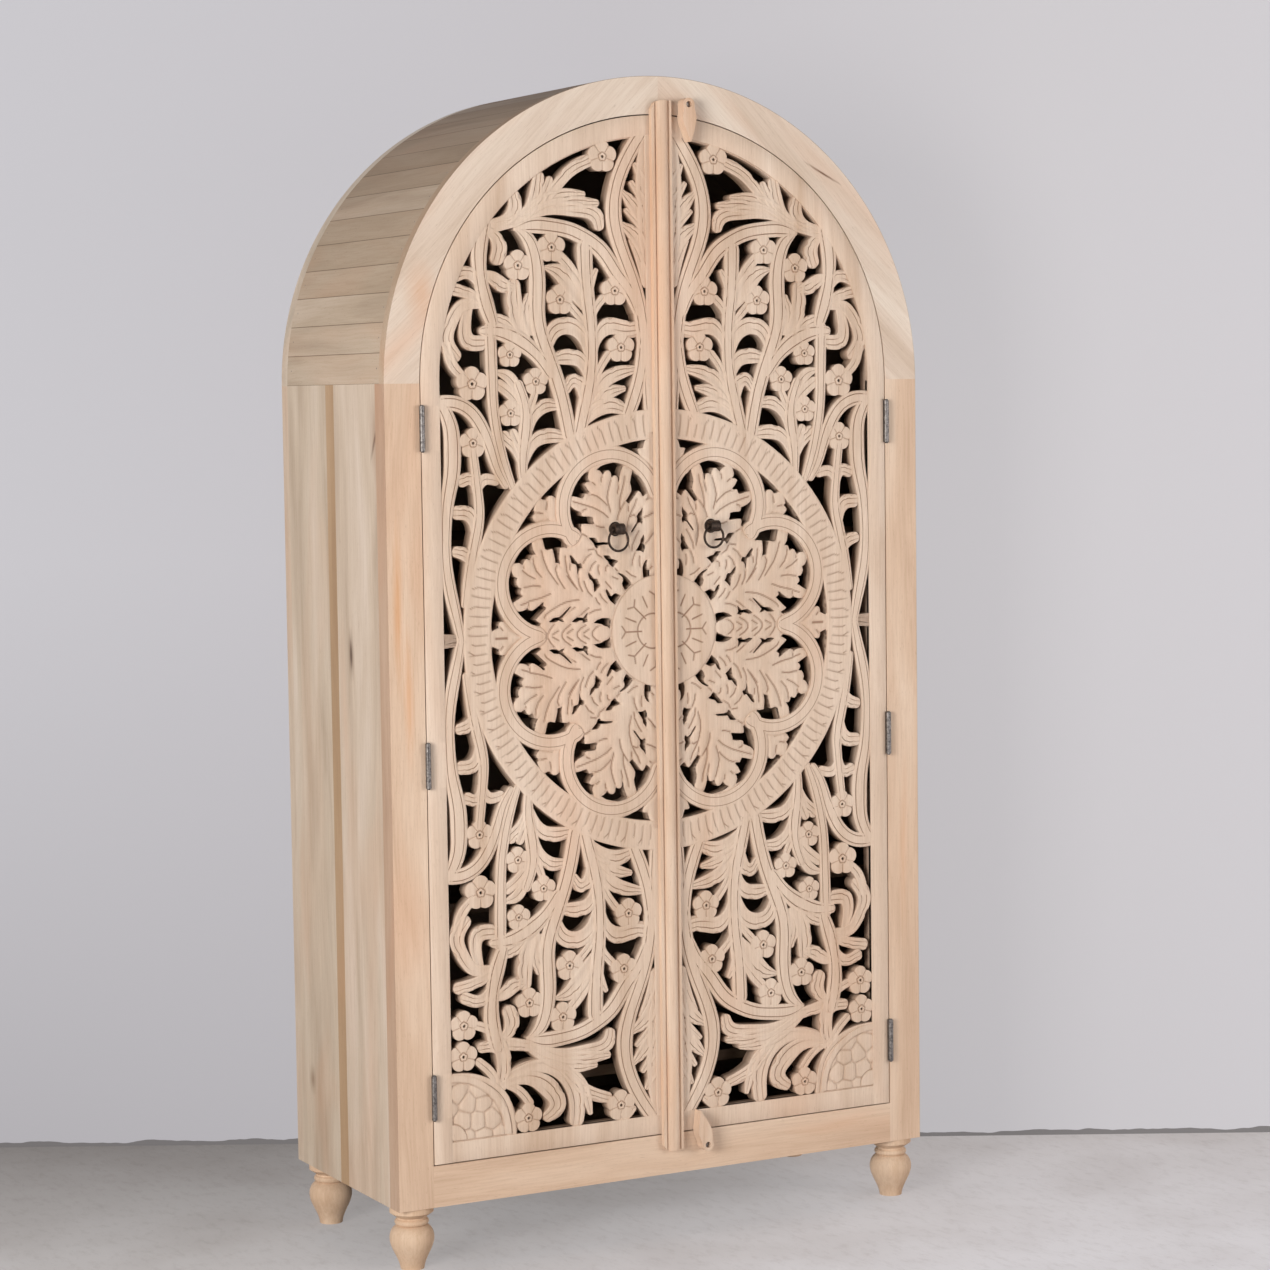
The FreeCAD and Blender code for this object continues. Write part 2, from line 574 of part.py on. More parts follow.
def front_posts():
    post = box(opening_half, half_width, 0, front_post_depth, foot_height, spring_height)
    dowel = foot_dowel(half_width - front_foot_inset, front_foot_inset)
    post = cut_by(post, hinge_cuts(1) + [dowel])
    return {"post_front_left": [mirrored(post)], "post_front_right": [post]}


def rear_posts():
    post = box(opening_half, half_width, carcass_depth - rear_post_depth, carcass_depth,
               foot_height, spring_height)
    return {"post_rear_left": [mirrored(post)], "post_rear_right": [post]}


def rails():
    front = box(-opening_half, opening_half, 0, front_post_depth, foot_height, rail_top)
    rear = box(-opening_half, opening_half, carcass_depth - rear_post_depth, carcass_depth,
               foot_height, rail_top)
    screw = button_screw(bottom_button_pivot())
    return {"rail_front": [front.cut(screw)], "rail_rear": [rear]}


def side_boards():
    # Upright boards edge to edge between the posts
    start = front_post_depth
    length = carcass_depth - rear_post_depth - front_post_depth
    boards = []
    for share in side_board_shares:
        end = start + share * length
        boards.append(box(inner_half, half_width, start, end, foot_height, spring_height))
        start = end
    return {"side_boards_left": [mirrored(board) for board in boards], "side_boards_right": boards}


def arch_frames():
    front = arch_piece(opening_half, half_width, 0, math.pi / 2, 0, arch_thickness)
    rear = arch_piece(opening_half, half_width, 0, math.pi / 2,
                      carcass_depth - rear_post_depth, carcass_depth)
    screwed = front.cut(button_screw(top_button_pivot()))
    return {
        "arch_front_left": [mirrored(front)],
        "arch_front_right": [screwed],
        "arch_rear_left": [mirrored(rear)],
        "arch_rear_right": [rear],
    }


def roof():
    # Staves lie on two hoops, one behind the front arch and one before the back boards
    hoop_outer = inner_half - seat_gap
    hoop_inner = inner_half - rib_height
    rear = back_front - seat_gap
    front_ribs = both_sides([arch_piece(hoop_inner, hoop_outer, 0, math.pi / 2,
                                        arch_thickness, arch_thickness + rib_depth)])
    rear_ribs = both_sides([arch_piece(hoop_inner, hoop_outer, 0, math.pi / 2, rear - rib_depth, rear)])
    step = math.pi / stave_count
    staves = [arch_piece(inner_half, half_width, step * k, step * (k + 1), arch_thickness,
                         carcass_depth - rear_post_depth) for k in range(stave_count)]
    return {"roof_rib_front": front_ribs, "roof_rib_rear": rear_ribs, "roof_staves": staves}


def back_boards():
    # Upright boards cut to the arch, in front of the rear posts
    radius = inner_half - seat_gap
    low = Vector(-radius, back_front, foot_height)
    sheet = Part.makeBox(2 * radius, back_thickness, spring_height - foot_height, low)
    top = Part.makeCylinder(radius, back_thickness, Vector(0, back_front, spring_height), Vector(0, 1, 0))
    whole = sheet.fuse(top).removeSplitter()
    pitch = 2 * radius / back_board_count
    top_height = spring_height + radius + overrun
    strips = [box(-radius + pitch * k, -radius + pitch * (k + 1), back_front, back_front + back_thickness,
                  foot_height, top_height) for k in range(back_board_count)]
    return {"back_boards": [whole.common(strip) for strip in strips]}


def shelf_heights():
    span = spring_height - rail_top
    return [rail_top + share * span for share in shelf_height_shares[:shelf_count]]


def shelves():
    nodes = {}
    for number, z in enumerate(shelf_heights(), 1):
        nodes["shelf_" + str(number)] = [box(-inner_half, inner_half, front_post_depth + shelf_setback,
                                             back_front, z, z + shelf_thickness)]
    return nodes


def shelf_cleats():
    cleats = [box(inner_half - cleat_size, inner_half, front_post_depth + shelf_setback, back_front,
                  z - cleat_size, z) for z in shelf_heights()]
    return {"shelf_cleats": both_sides(cleats)}


def floor_pieces():
    floor = box(-inner_half, inner_half, front_post_depth, back_front, floor_bottom, rail_top)
    block_inner = inner_half - foot_block_width
    rear_block = back_front - foot_block_width
    low = foot_height
    front = box(block_inner, inner_half, front_post_depth, front_post_depth + foot_block_width,
                low, floor_bottom)
    rear = box(block_inner, inner_half, rear_block, back_front, low, floor_bottom)
    front = front.cut(foot_dowel(half_width - front_foot_inset, front_foot_inset))
    rear = rear.cut(foot_dowel(half_width - front_foot_inset, carcass_depth - rear_foot_inset))
    cleat = box(inner_half - cleat_size, inner_half, front_post_depth + foot_block_width, rear_block,
                floor_bottom - cleat_size, floor_bottom)
    return {
        "floor_board": [floor],
        "foot_blocks": both_sides([front, rear]),
        "floor_cleats": both_sides([cleat]),
    }


# Feet

def foot_dowel(x, y):
    return rod(dowel_radius, Vector(x, y, foot_height), Vector(0, 0, 1), dowel_length)


def foot(x, y):
    # Turned profile: collar, neck, bead, bulb and a tapering base, with a dowel on top
    levels = [share * foot_height for share in foot_level_shares]
    radii = (collar_radius, neck_radius, neck_radius, bead_radius, neck_radius, bulb_radius, base_radius)
    places = [Vector(radius, 0, level) for radius, level in zip(radii, levels)]
    top = Vector(0, 0, foot_height)
    rim = Vector(collar_radius, 0, foot_height)
    shoulder = Vector(neck_radius + foot_swell_shares[0] * (bulb_radius - neck_radius), 0,
                      (levels[4] + levels[5]) / 2)
    waist = Vector(base_radius + foot_swell_shares[1] * (bulb_radius - base_radius), 0, levels[5] / 2)
    bulb = Part.BSplineCurve()
    bulb.interpolate([places[4], shoulder, places[5], waist, places[6]])
    profile = [Part.makeLine(top, rim), Part.makeLine(rim, places[0]), Part.makeLine(places[0], places[1]),
               Part.makeLine(places[1], places[2]), Part.Arc(*places[2:5]).toShape(), bulb.toShape(),
               Part.makeLine(places[6], Vector(0, 0, 0)), Part.makeLine(Vector(0, 0, 0), top)]
    turned = Part.Face(Part.Wire(profile)).revolve(Vector(0, 0, 0), Vector(0, 0, 1), 360)
    turned.translate(Vector(x, y, 0))
    return turned.fuse(foot_dowel(x, y)).removeSplitter()


def feet():
    x = half_width - front_foot_inset
    rear_y = carcass_depth - rear_foot_inset
    front = foot(x, front_foot_inset)
    rear = foot(x, rear_y)
    return {
        "foot_front_left": [mirrored(front)],
        "foot_front_right": [front],
        "foot_rear_left": [mirrored(rear)],
        "foot_rear_right": [rear],
    }


# Fixings

def nails():
    # A nail near each end of each stave, into the hoops below
    step = math.pi / stave_count
    front_y = arch_thickness + nail_inset
    rear_y = back_front - seat_gap - nail_inset
    pins = []
    for k in range(stave_count):
        angle = step * (k + 0.5)
        out = Vector(math.cos(angle), 0, math.sin(angle))
        for y in (front_y, rear_y):
            start = Vector(0, y, spring_height) + out * half_width
            pins.append(rod(nail_radius, start, out * -1, nail_length))
    return {"roof_nails": pins}


def door_stops():
    # Blocks that the closed doors meet: two on the rail, one under the crown of the front hoop
    front = door_thickness + stop_gap
    low = [box(stop_width, 2 * stop_width, front, front + stop_height, rail_top, rail_top + stop_height)]
    hoop = inner_half - rib_height
    block = box(-stop_width, stop_width, front, arch_thickness + rib_depth,
                spring_height + door_half - stop_height, spring_height + hoop)
    round_end = Part.makeCylinder(hoop, carcass_depth, Vector(0, 0, spring_height), Vector(0, 1, 0))
    return {"door_stops": both_sides(low) + [block.common(round_end)]}


# Turn buttons

def top_button_pivot():
    return Vector(top_button_offset, 0, spring_height + opening_half + top_button_rise)


def bottom_button_pivot():
    return Vector(bottom_button_offset, 0, rail_top - bottom_button_drop)


def button(pivot, angle):
    # Leaf-shaped block on a washer: round at the screw, widest a third of the way, then down to a point.
    # The tip's direction is counted from straight down.
    back = -(washer_thickness + lap_gap + seat_gap)
    reach = Vector(math.sin(angle), 0, -math.cos(angle))
    across = Vector(reach.z, 0, -reach.x)
    head = button_head_width / 2
    sides = []
    for side in (1, -1):
        places = [pivot + across * (side * head)]
        places += [pivot + reach * (along * button_reach) + across * (side * aside * button_width)
                   for along, aside in button_side_shares]
        sides.append(places)
    flanks = []
    for places in sides:
        flank = Part.BSplineCurve()
        flank.interpolate(places)
        flanks.append(flank.toShape())
    edges = [flanks[0],
             Part.Arc(sides[0][-1], pivot + reach * button_reach, sides[1][-1]).toShape(),
             flanks[1],
             Part.Arc(sides[1][0], pivot - reach * head, sides[0][0]).toShape()]
    block = joined_face(edges).extrude(Vector(0, -button_thickness, 0))
    block.translate(Vector(0, back, 0))
    outward = Vector(0, -1, 0)
    hole = rod(button_screw_radius + button_hole_gap, pivot, outward, button_thickness - back)
    sink = rod(button_sink_radius, pivot + outward * (button_thickness - back - button_sink_depth), outward,
               button_sink_depth + overrun)
    return block.cut([hole, sink])


def button_screw(pivot):
    # Round head screw, sunk in the button, through the washer into the frame
    inward = Vector(0, 1, 0)
    sink = washer_thickness + lap_gap + 2 * seat_gap + button_thickness - button_sink_depth
    start = pivot - inward * sink
    shank = rod(button_screw_radius, start, inward, sink + button_screw_bite)
    head = rod(button_head_radius, start - inward * button_head_height, inward, button_head_height)
    return head.fuse(shank).removeSplitter()


def button_washer(pivot):
    plate = rod(washer_radius, pivot, Vector(0, -1, 0), washer_thickness + lap_gap)
    return plate.cut(button_screw(pivot))


def turn_buttons():
    pivots = [top_button_pivot(), bottom_button_pivot()]
    return {
        "button_top": [button(pivots[0], math.radians(top_button_tilt))],
        "button_bottom": [button(pivots[1], math.pi + math.radians(bottom_button_tilt))],
        "button_screws": [button_screw(pivot) for pivot in pivots],
        "button_washers": [button_washer(pivot) for pivot in pivots],
    }


# Ring pulls, drawn on the right door with its front face on Y = 0

def eye_bore():
    # Waisted hole that gives the swinging ring's bend the same room all along
    reach = ring_radius - pull_hole_radius
    half = (pull_eye_width + pull_hole_radius) / 2
    wide = ring_radius - math.sqrt(reach ** 2 - half ** 2)
    ends = [Vector(-half, 0, 0), Vector(-half, 0, wide), Vector(half, 0, wide), Vector(half, 0, 0)]
    edges = [Part.makeLine(ends[0], ends[1]),
             Part.Arc(ends[1], Vector(0, 0, pull_hole_radius), ends[2]).toShape(),
             Part.makeLine(ends[2], ends[3]), Part.makeLine(ends[3], ends[0])]
    bore = Part.Face(Part.Wire(edges)).revolve(Vector(0, 0, 0), Vector(1, 0, 0), 360)
    return bore.translated(Vector(pull_offset, -pull_axis_out, pull_height))


def pull_staple():
    # Plate with a barrel that holds the ring, and a shank through the door
    foot_place = Vector(pull_offset, 0, pull_height)
    sphere_radius = (pull_plate_radius ** 2 + pull_plate_height ** 2) / (2 * pull_plate_height)
    ball = Part.makeSphere(sphere_radius, foot_place + Vector(0, sphere_radius - pull_plate_height, 0))
    keep = box(pull_offset - pull_plate_radius, pull_offset + pull_plate_radius, -pull_plate_height, 0,
               pull_height - pull_plate_radius, pull_height + pull_plate_radius)
    dome = ball.common(keep)
    eye = rod(pull_eye_radius, Vector(pull_offset - pull_eye_width / 2, -pull_axis_out, pull_height),
              Vector(1, 0, 0), pull_eye_width)
    neck = box(pull_offset - pull_eye_width / 2, pull_offset + pull_eye_width / 2, -pull_axis_out, 0,
               pull_height - pull_eye_radius / 2, pull_height + pull_eye_radius / 2)
    shank = rod(pull_shank_radius, foot_place, Vector(0, 1, 0), door_thickness + pull_nut_height)
    staple = dome.fuse([eye, neck, shank]).removeSplitter()
    return staple.cut(eye_bore())


def pull_ring():
    # Hangs in the eye from the highest point of its wire
    centre = Vector(pull_offset, -pull_axis_out, pull_height - ring_radius)
    return Part.makeTorus(ring_radius, ring_wire_radius, centre, Vector(0, 1, 0))


def pull_nut():
    nut = rod(pull_nut_radius, Vector(pull_offset, door_thickness, pull_height), Vector(0, 1, 0),
              pull_nut_height)
    return nut.cut(pull_staple())


# Doors

def astragal():
    # Half-round bar between two flat beads, carved from one strip
    low = rail_top - astragal_low
    high = spring_height + opening_half + astragal_high
    side = astragal_width / 2
    crown = side - bead_width
    corners = [Vector(-side, 0, 0), Vector(-side, -bead_depth, 0), Vector(-crown, -bead_depth, 0)]
    others = [Vector(-corner.x, corner.y, 0) for corner in reversed(corners)]
    edges = [Part.makeLine(a, b) for a, b in zip(corners, corners[1:])]
    edges.append(Part.Arc(corners[-1], Vector(0, -astragal_thickness, 0), others[0]).toShape())
    edges += [Part.makeLine(a, b) for a, b in zip(others, others[1:])]
    edges.append(Part.makeLine(others[-1], corners[0]))
    strip = Part.Face(Part.Wire(edges)).extrude(Vector(0, 0, high - low))
    # Seen from the side, both ends roll back to the door
    turn = astragal_thickness * math.sqrt(0.5)
    rolled = [
        Part.makeLine(Vector(-side, 0, 0), Vector(-side, 0, high - low)),
        Part.Arc(Vector(-side, 0, high - low), Vector(-side, -turn, high - low - astragal_thickness + turn),
                 Vector(-side, -astragal_thickness, high - low - astragal_thickness)).toShape(),
        Part.makeLine(Vector(-side, -astragal_thickness, high - low - astragal_thickness),
                      Vector(-side, -astragal_thickness, astragal_thickness)),
        Part.Arc(Vector(-side, -astragal_thickness, astragal_thickness),
                 Vector(-side, -turn, astragal_thickness - turn), Vector(-side, 0, 0)).toShape(),
    ]
    strip = strip.common(Part.Face(Part.Wire(rolled)).extrude(Vector(astragal_width, 0, 0)))
    strip.translate(Vector(astragal_shift, 0, low))
    return strip


def astragal_nails():
    # Three nails through the strip into the right door's meeting border
    x = meeting_gap / 2 + nail_inset
    return [rod(nail_radius, Vector(x, -bead_depth, z), Vector(0, 1, 0), nail_length) for z in hinge_heights]


def door_nodes():
    # The left door is the right one turned over; the right one stands proud by the lap's gap
    face = carved_face()
    slab = face.extrude(Vector(0, door_thickness, 0))
    slab = cut_by(slab, hinge_cuts(-1) + [pull_staple()])
    proud = Vector(0, -lap_gap, 0)
    leaves = [hinge_leaf(middle, -1) for middle in hinge_heights]
    screws = [screw for middle in hinge_heights for screw in leaf_screws(middle, -1)]
    right_slab = face.extrude(Vector(0, door_thickness + lap_gap, 0)).translated(proud)
    right_slab = cut_by(right_slab, hinge_cuts(-1) + [pull_staple().translated(proud)])
    return {
        "door_left_panel": [mirrored(slab)],
        "door_right_panel": [right_slab],
        "astragal": [astragal().translated(proud)],
        "astragal_nails": [nail.translated(proud) for nail in astragal_nails()],
        "hinge_leaves_door_left": [mirrored(leaf) for leaf in leaves],
        "hinge_leaves_door_right": leaves,
        "hinge_screws_door_left": [mirrored(screw) for screw in screws],
        "hinge_screws_door_right": screws,
        "pull_staple_left": [mirrored(pull_staple())],
        "pull_staple_right": [pull_staple().translated(proud)],
        "pull_nut_left": [mirrored(pull_nut())],
        "pull_nut_right": [pull_nut()],
        "pull_ring_left": [mirrored(pull_ring())],
        "pull_ring_right": [pull_ring().translated(proud)],
    }


def frame_hinges():
    leaves = [hinge_leaf(middle, 1) for middle in hinge_heights]
    pins = [hinge_pin(middle) for middle in hinge_heights]
    screws = [screw for middle in hinge_heights for screw in leaf_screws(middle, 1)]
    return {
        "hinge_leaves_frame_left": [mirrored(leaf) for leaf in leaves],
        "hinge_leaves_frame_right": leaves,
        "hinge_pins_left": [mirrored(pin) for pin in pins],
        "hinge_pins_right": pins,
        "hinge_screws_frame_left": [mirrored(screw) for screw in screws],
        "hinge_screws_frame_right": screws,
    }


def write(name, solids):
    shape = solids[0] if len(solids) == 1 else Part.makeCompound(solids)
    placed = shape.translated(Vector(0, -origin_y, 0))
    placed.exportStep("parts/" + name + ".step")
    print(name, len(placed.Solids), "solids, valid", placed.isValid())


makers = (front_posts, rear_posts, rails, side_boards, arch_frames, roof, back_boards, shelves,
          shelf_cleats, floor_pieces, feet, nails, door_stops, turn_buttons, frame_hinges, door_nodes)
for maker in makers:
    for node, pieces in maker().items():
        write(node, pieces)
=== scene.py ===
import math
import bmesh
import bpy
import numpy as np
from mathutils import Matrix, Vector


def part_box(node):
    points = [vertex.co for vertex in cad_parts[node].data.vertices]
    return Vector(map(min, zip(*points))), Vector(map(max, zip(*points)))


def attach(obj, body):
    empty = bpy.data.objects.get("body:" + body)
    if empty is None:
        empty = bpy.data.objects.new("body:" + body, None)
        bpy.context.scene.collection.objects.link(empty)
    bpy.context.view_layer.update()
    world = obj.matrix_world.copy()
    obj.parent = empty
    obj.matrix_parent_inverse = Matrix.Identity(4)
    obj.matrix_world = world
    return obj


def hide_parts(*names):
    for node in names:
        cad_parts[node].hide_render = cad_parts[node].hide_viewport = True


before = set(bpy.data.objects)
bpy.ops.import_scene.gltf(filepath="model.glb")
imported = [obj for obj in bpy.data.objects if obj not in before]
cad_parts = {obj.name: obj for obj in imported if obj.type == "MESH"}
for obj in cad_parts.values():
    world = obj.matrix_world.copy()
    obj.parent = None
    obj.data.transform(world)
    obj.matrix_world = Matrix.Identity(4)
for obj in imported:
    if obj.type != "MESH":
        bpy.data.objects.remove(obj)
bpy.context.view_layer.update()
print("frame loaded", len(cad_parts), "nodes")

# The cabinet stands on z = 0 and looks towards -Y. The carving is worked out in millimetres on the drawing
# (across from the meeting of the doors, height, depth into the wood) and turned to metres at the end.
cabinet = {
    "frontY": -0.2045,          # front plane of the carcass, metres
    "springHeight": 1437.0,
    "doorHalf": 436.0,
    "doorBottom": 174.0,
    "meetingEdge": 1.5,
    "doorMiddle": 1023.5,
    "ringRadius": 368.0,
    "rightDoorProud": 0.6,      # the right door stands this much in front of the left one
    "middleShares": 1022.0,
    "riseShares": 852.0,
}


# Camera and stage

photoView = {
    "place": (-2.5299, -4.8577, 1.4114),
    "yaw": 0.505, "pitch": 0.077, "roll": 0.012,
    "focalPixels": 3187.46, "centrePixels": (687.0, 642.36), "imagePixels": 1270.0,
    "sensor": 36.0,
}


def placeCamera(view):
    # Forward from yaw and pitch, right and down turned by the roll; the lens is focal pixels over image
    # pixels times the sensor, and the shift is how far the picture's centre lies from the lens axis
    forward = Vector((math.sin(view["yaw"]) * math.cos(view["pitch"]),
                      math.cos(view["yaw"]) * math.cos(view["pitch"]), -math.sin(view["pitch"])))
    level = Vector((math.cos(view["yaw"]), -math.sin(view["yaw"]), 0.0))
    down = forward.cross(level)
    right = level * math.cos(view["roll"]) + down * math.sin(view["roll"])
    down = down * math.cos(view["roll"]) - level * math.sin(view["roll"])
    data = bpy.data.cameras.new("camera")
    data.sensor_width = view["sensor"]
    data.lens = view["focalPixels"] / view["imagePixels"] * view["sensor"]
    data.shift_x = (view["imagePixels"] / 2 - view["centrePixels"][0]) / view["imagePixels"]
    data.shift_y = (view["centrePixels"][1] - view["imagePixels"] / 2) / view["imagePixels"]
    data.clip_end = 60.0
    camera = bpy.data.objects.new("camera", data)
    bpy.context.scene.collection.objects.link(camera)
    turn = Matrix((right, -down, -forward)).transposed().to_4x4()
    camera.matrix_world = Matrix.Translation(view["place"]) @ turn
    bpy.context.scene.camera = camera
    return forward


lookAlong = placeCamera(photoView)
print("camera placed")


# Materials

def linearColour(hexText):
    # sRGB hex to linear light: below 0.04045 divided by 12.92, above it ((c + 0.055) / 1.055) to the 2.4
    parts = [int(hexText[place:place + 2], 16) / 255 for place in (1, 3, 5)]
    return [c / 12.92 if c <= 0.04045 else ((c + 0.055) / 1.055) ** 2.4 for c in parts] + [1.0]


def addNode(tree, kind, settings=None, *inputs, output=0):
    # One node. The settings are its properties or, as a bare word, its operation; stops and steps fill a
    # colour ramp. The inputs fill its open sockets in order, or by name from a dictionary, with a link, a
    # value or a hex colour. It gives back one output, or the node where the output is None or there is none.
    made = tree.nodes.new("ShaderNode" + kind)
    settings = {"operation": settings} if isinstance(settings, str) else dict(settings or {})
    steps = settings.pop("steps", ())
    stops = settings.pop("stops", steps)
    for key, value in settings.items():
        setattr(made, key, value)
    if stops:
        points = made.color_ramp.elements
        made.color_ramp.interpolation = "CONSTANT" if steps else "LINEAR"
        while len(points) < len(stops):
            points.new(0.5)
        for point, (position, tone) in zip(points, stops):
            point.position = position
            point.color = linearColour(tone) if isinstance(tone, str) else (tone, tone, tone, 1.0)
    pairs = list(zip([socket for socket in made.inputs if socket.enabled], inputs))
    if inputs and isinstance(inputs[-1], dict):
        pairs = pairs[:len(inputs) - 1] + [(made.inputs[key], value) for key, value in inputs[-1].items()]
    for socket, value in pairs:
        if isinstance(value, bpy.types.NodeSocket):
            tree.links.new(value, socket)
        elif value is not None:
            socket.default_value = linearColour(value) if isinstance(value, str) else value
    if output is None or not made.outputs:
        return made
    return made.outputs[output] if isinstance(output, str) else [one for one in made.outputs if one.enabled][output]


mixed = {"data_type": "RGBA"}
multiplied = {"data_type": "RGBA", "blend_type": "MULTIPLY"}
clampedProduct = {"operation": "MULTIPLY", "use_clamp": True}


def newMaterial(name):
    # A material with an empty node tree
    made = bpy.data.materials.new(name)
    made.use_nodes = True
    made.node_tree.nodes.clear()
    return made, made.node_tree


def stretchedNoise(tree, coordinates, scales, detail, roughness, distortion=0.0, shift=(0.0, 0.0, 0.0)):
    # Noise on a stretched place: the scales are cycles per metre along each axis
    place = addNode(tree, "Mapping", None, coordinates, shift, None, scales)
    return addNode(tree, "TexNoise", None, place, 1.0, detail, roughness, None, distortion)


def grainScales(axis, along, across):
    # Cycles per metre on the three axes: along on the grain's own axis, across on the other two
    return tuple(along if place == axis else across for place in range(3))


woodTones = {
    "front": ("#CAAB91", "#DBBEA4", "#E6CEB7"),
    "arch": ("#CFB9A4", "#DDCAB8", "#E8DACA"),
    "side": ("#B8A490", "#CDBBA7", "#DACABA"),
    "roof": ("#B5A694", "#CABBA9", "#DACDBE"),
    # The inside tones are painted shade, about half as bright as the raw wood, for the dark inside of the closed
    # cabinet
    "inside": ("#5E4C3B", "#6D5A47", "#7B6854"),
    "carved": ("#CFB49C", "#DDC6B1", "#E8D4C1"),
    "trim": ("#C8A88E", "#D9BCA3", "#E5CEB8"),
    "foot": ("#C2A082", "#D6B99D", "#E3CBB2"),
}
swayMetres = (0.024, 0.024, 0.024)


def bleachedMango(name, tones, axis=2, blush="#D9A27C", blushShare=0.2, boards=None, knots=(), carved=False,
                  inner=None, rim=None, follow=None):
    # Mango wood, sawn and planed, bleached and left unvarnished: a matt pale surface with long soft streaks,
    # short dark pores along the grain, and warm pink or orange clouds. Streaks are about 25 mm wide and
    # 600 mm long, the finer grain 3 mm wide, the pores 0.8 mm wide and 12 mm long.
    made, tree = newMaterial(name)
    coordinates = addNode(tree, "TexCoord", output="Object")
    parts = addNode(tree, "SeparateXYZ", None, coordinates, output=None).outputs
    grainPlace = coordinates if follow is None else follow(tree, parts)
    if boards is not None:
        # Each board has its own tone and its own piece of the grain
        boardTone, shift = boards(tree, parts)
        offset = addNode(tree, "VectorMath", "SCALE", (3.1, 2.3, 1.7), shift)
        grainPlace = addNode(tree, "VectorMath", "ADD", coordinates, offset)
    # A slow bend of the grain, 12 mm over about 300 mm
    sway = addNode(tree, "TexNoise", None, grainPlace, 3.2, 1.0, output="Color")
    swayed = addNode(tree, "VectorMath", "MULTIPLY_ADD", sway, swayMetres, grainPlace)
    ragged = addNode(tree, "VectorMath", "MULTIPLY_ADD", sway, swayMetres, coordinates)
    streaks = stretchedNoise(tree, swayed, grainScales(axis, 1.9, 17.0), 3.0, 0.5, 0.6)
    fine = stretchedNoise(tree, swayed, grainScales(axis, 9.0, 330.0), 3.0, 0.6)
    pores = stretchedNoise(tree, swayed, grainScales(axis, 80.0, 1300.0), 2.0, 0.5)
    clouds = stretchedNoise(tree, grainPlace, grainScales(axis, 1.6, 7.0), 2.0, 0.5, 0.8, (4.0, 2.0, 7.0))
    colour = addNode(tree, "ValToRGB", {"stops": tuple(zip((0.26, 0.5, 0.76), tones))}, streaks)
    shade = addNode(tree, "ValToRGB", {"stops": ((0.3, "#E2D8CE"), (0.6, "#FFFFFF"))}, fine)
    colour = addNode(tree, "Mix", multiplied, 0.4, colour, shade)
    shade = addNode(tree, "ValToRGB", {"stops": ((0.52, 0.0), (0.72, 1.0))}, clouds)
    colour = addNode(tree, "Mix", mixed, addNode(tree, "Math", "MULTIPLY", shade, blushShare), colour, blush)
    shade = addNode(tree, "ValToRGB", {"stops": ((0.27, "#B09A86"), (0.36, "#FFFFFF"))}, pores)
    colour = addNode(tree, "Mix", multiplied, 0.35, colour, shade)
    if boards is not None:
        colour = addNode(tree, "Mix", multiplied, 1.0, colour, boardTone)
    for place, size, strength, tone, *turn in knots:
        # Distance from the knot, stretched to its own size along and across the grain
        apart = addNode(tree, "VectorMath", "SUBTRACT", ragged, tuple(part + 0.012 for part in place))
        if turn:
            apart = addNode(tree, "VectorRotate", {"rotation_type": "EULER_XYZ"}, apart, None, turn[0])
        apart = addNode(tree, "VectorMath", "DIVIDE", apart, size)
        far = addNode(tree, "Math", "MULTIPLY_ADD", fine, 0.5, addNode(tree, "VectorMath", "LENGTH", apart))
        shade = addNode(tree, "ValToRGB", {"stops": ((0.2, 1.0), (0.38, 0.5), (0.62, 0.0))},
                        addNode(tree, "Math", "MULTIPLY", far, 0.5))
        colour = addNode(tree, "Mix", mixed, addNode(tree, "Math", "MULTIPLY", shade, strength), colour, tone)
    if carved:
        # Painted shade: the cut attribute turns grooves, relief edges and walls brown, and the wood deeper in the
        # holes is darkened towards a dark brown
        cut = addNode(tree, "Attribute", {"attribute_name": "cut"}, output="Fac")
        colour = addNode(tree, "Mix", mixed, addNode(tree, "Math", "MULTIPLY", cut, 0.8), colour, "#74492C")
        depth = addNode(tree, "Math", "SUBTRACT", parts["Y"], cabinet["frontY"] + 0.004)
        depth = addNode(tree, "Math", clampedProduct, depth, 1 / 0.014)
        colour = addNode(tree, "Mix", mixed, addNode(tree, "Math", "MULTIPLY", depth, 0.72), colour, "#573C28")
    if rim is not None:
        # An outer face with its own tone; an arch's also takes the painted shade towards the crown that the roof
        # beside it has
        measure, limit, tone = rim
        if follow is not None:
            tone = addNode(tree, "Mix", multiplied, 1.0, tone, paintedShadeUp(tree, parts))
        where = addNode(tree, "Math", "GREATER_THAN", measure(tree, parts), limit)
        colour = addNode(tree, "Mix", mixed, where, colour, addNode(tree, "Mix", multiplied, 1.0, colour, tone))
    if inner is not None:
        # Painted shade: inner faces are mixed most of the way to a dark brown, for the shade inside the closed
        # cabinet
        where = addNode(tree, "Math", "LESS_THAN", inner[0](tree, parts), inner[1])
        colour = addNode(tree, "Mix", mixed, where, colour, addNode(tree, "Mix", mixed, 0.9, colour, "#6D5A47"))
    height = addNode(tree, "Math", "ADD", addNode(tree, "Math", "MULTIPLY", fine, 0.5),
                     addNode(tree, "Math", "MULTIPLY", pores, 0.5))
    bump = addNode(tree, "Bump", None, 0.35, 0.0006, {"Height": height})
    roughness = addNode(tree, "MapRange", None, fine, {"To Min": 0.56, "To Max": 0.74})
    shader = addNode(tree, "BsdfPrincipled", None, {"IOR": 1.46, "Specular IOR Level": 0.32, "Base Color": colour,
                                                    "Roughness": roughness, "Normal": bump})
    addNode(tree, "OutputMaterial", None, shader)
    return made


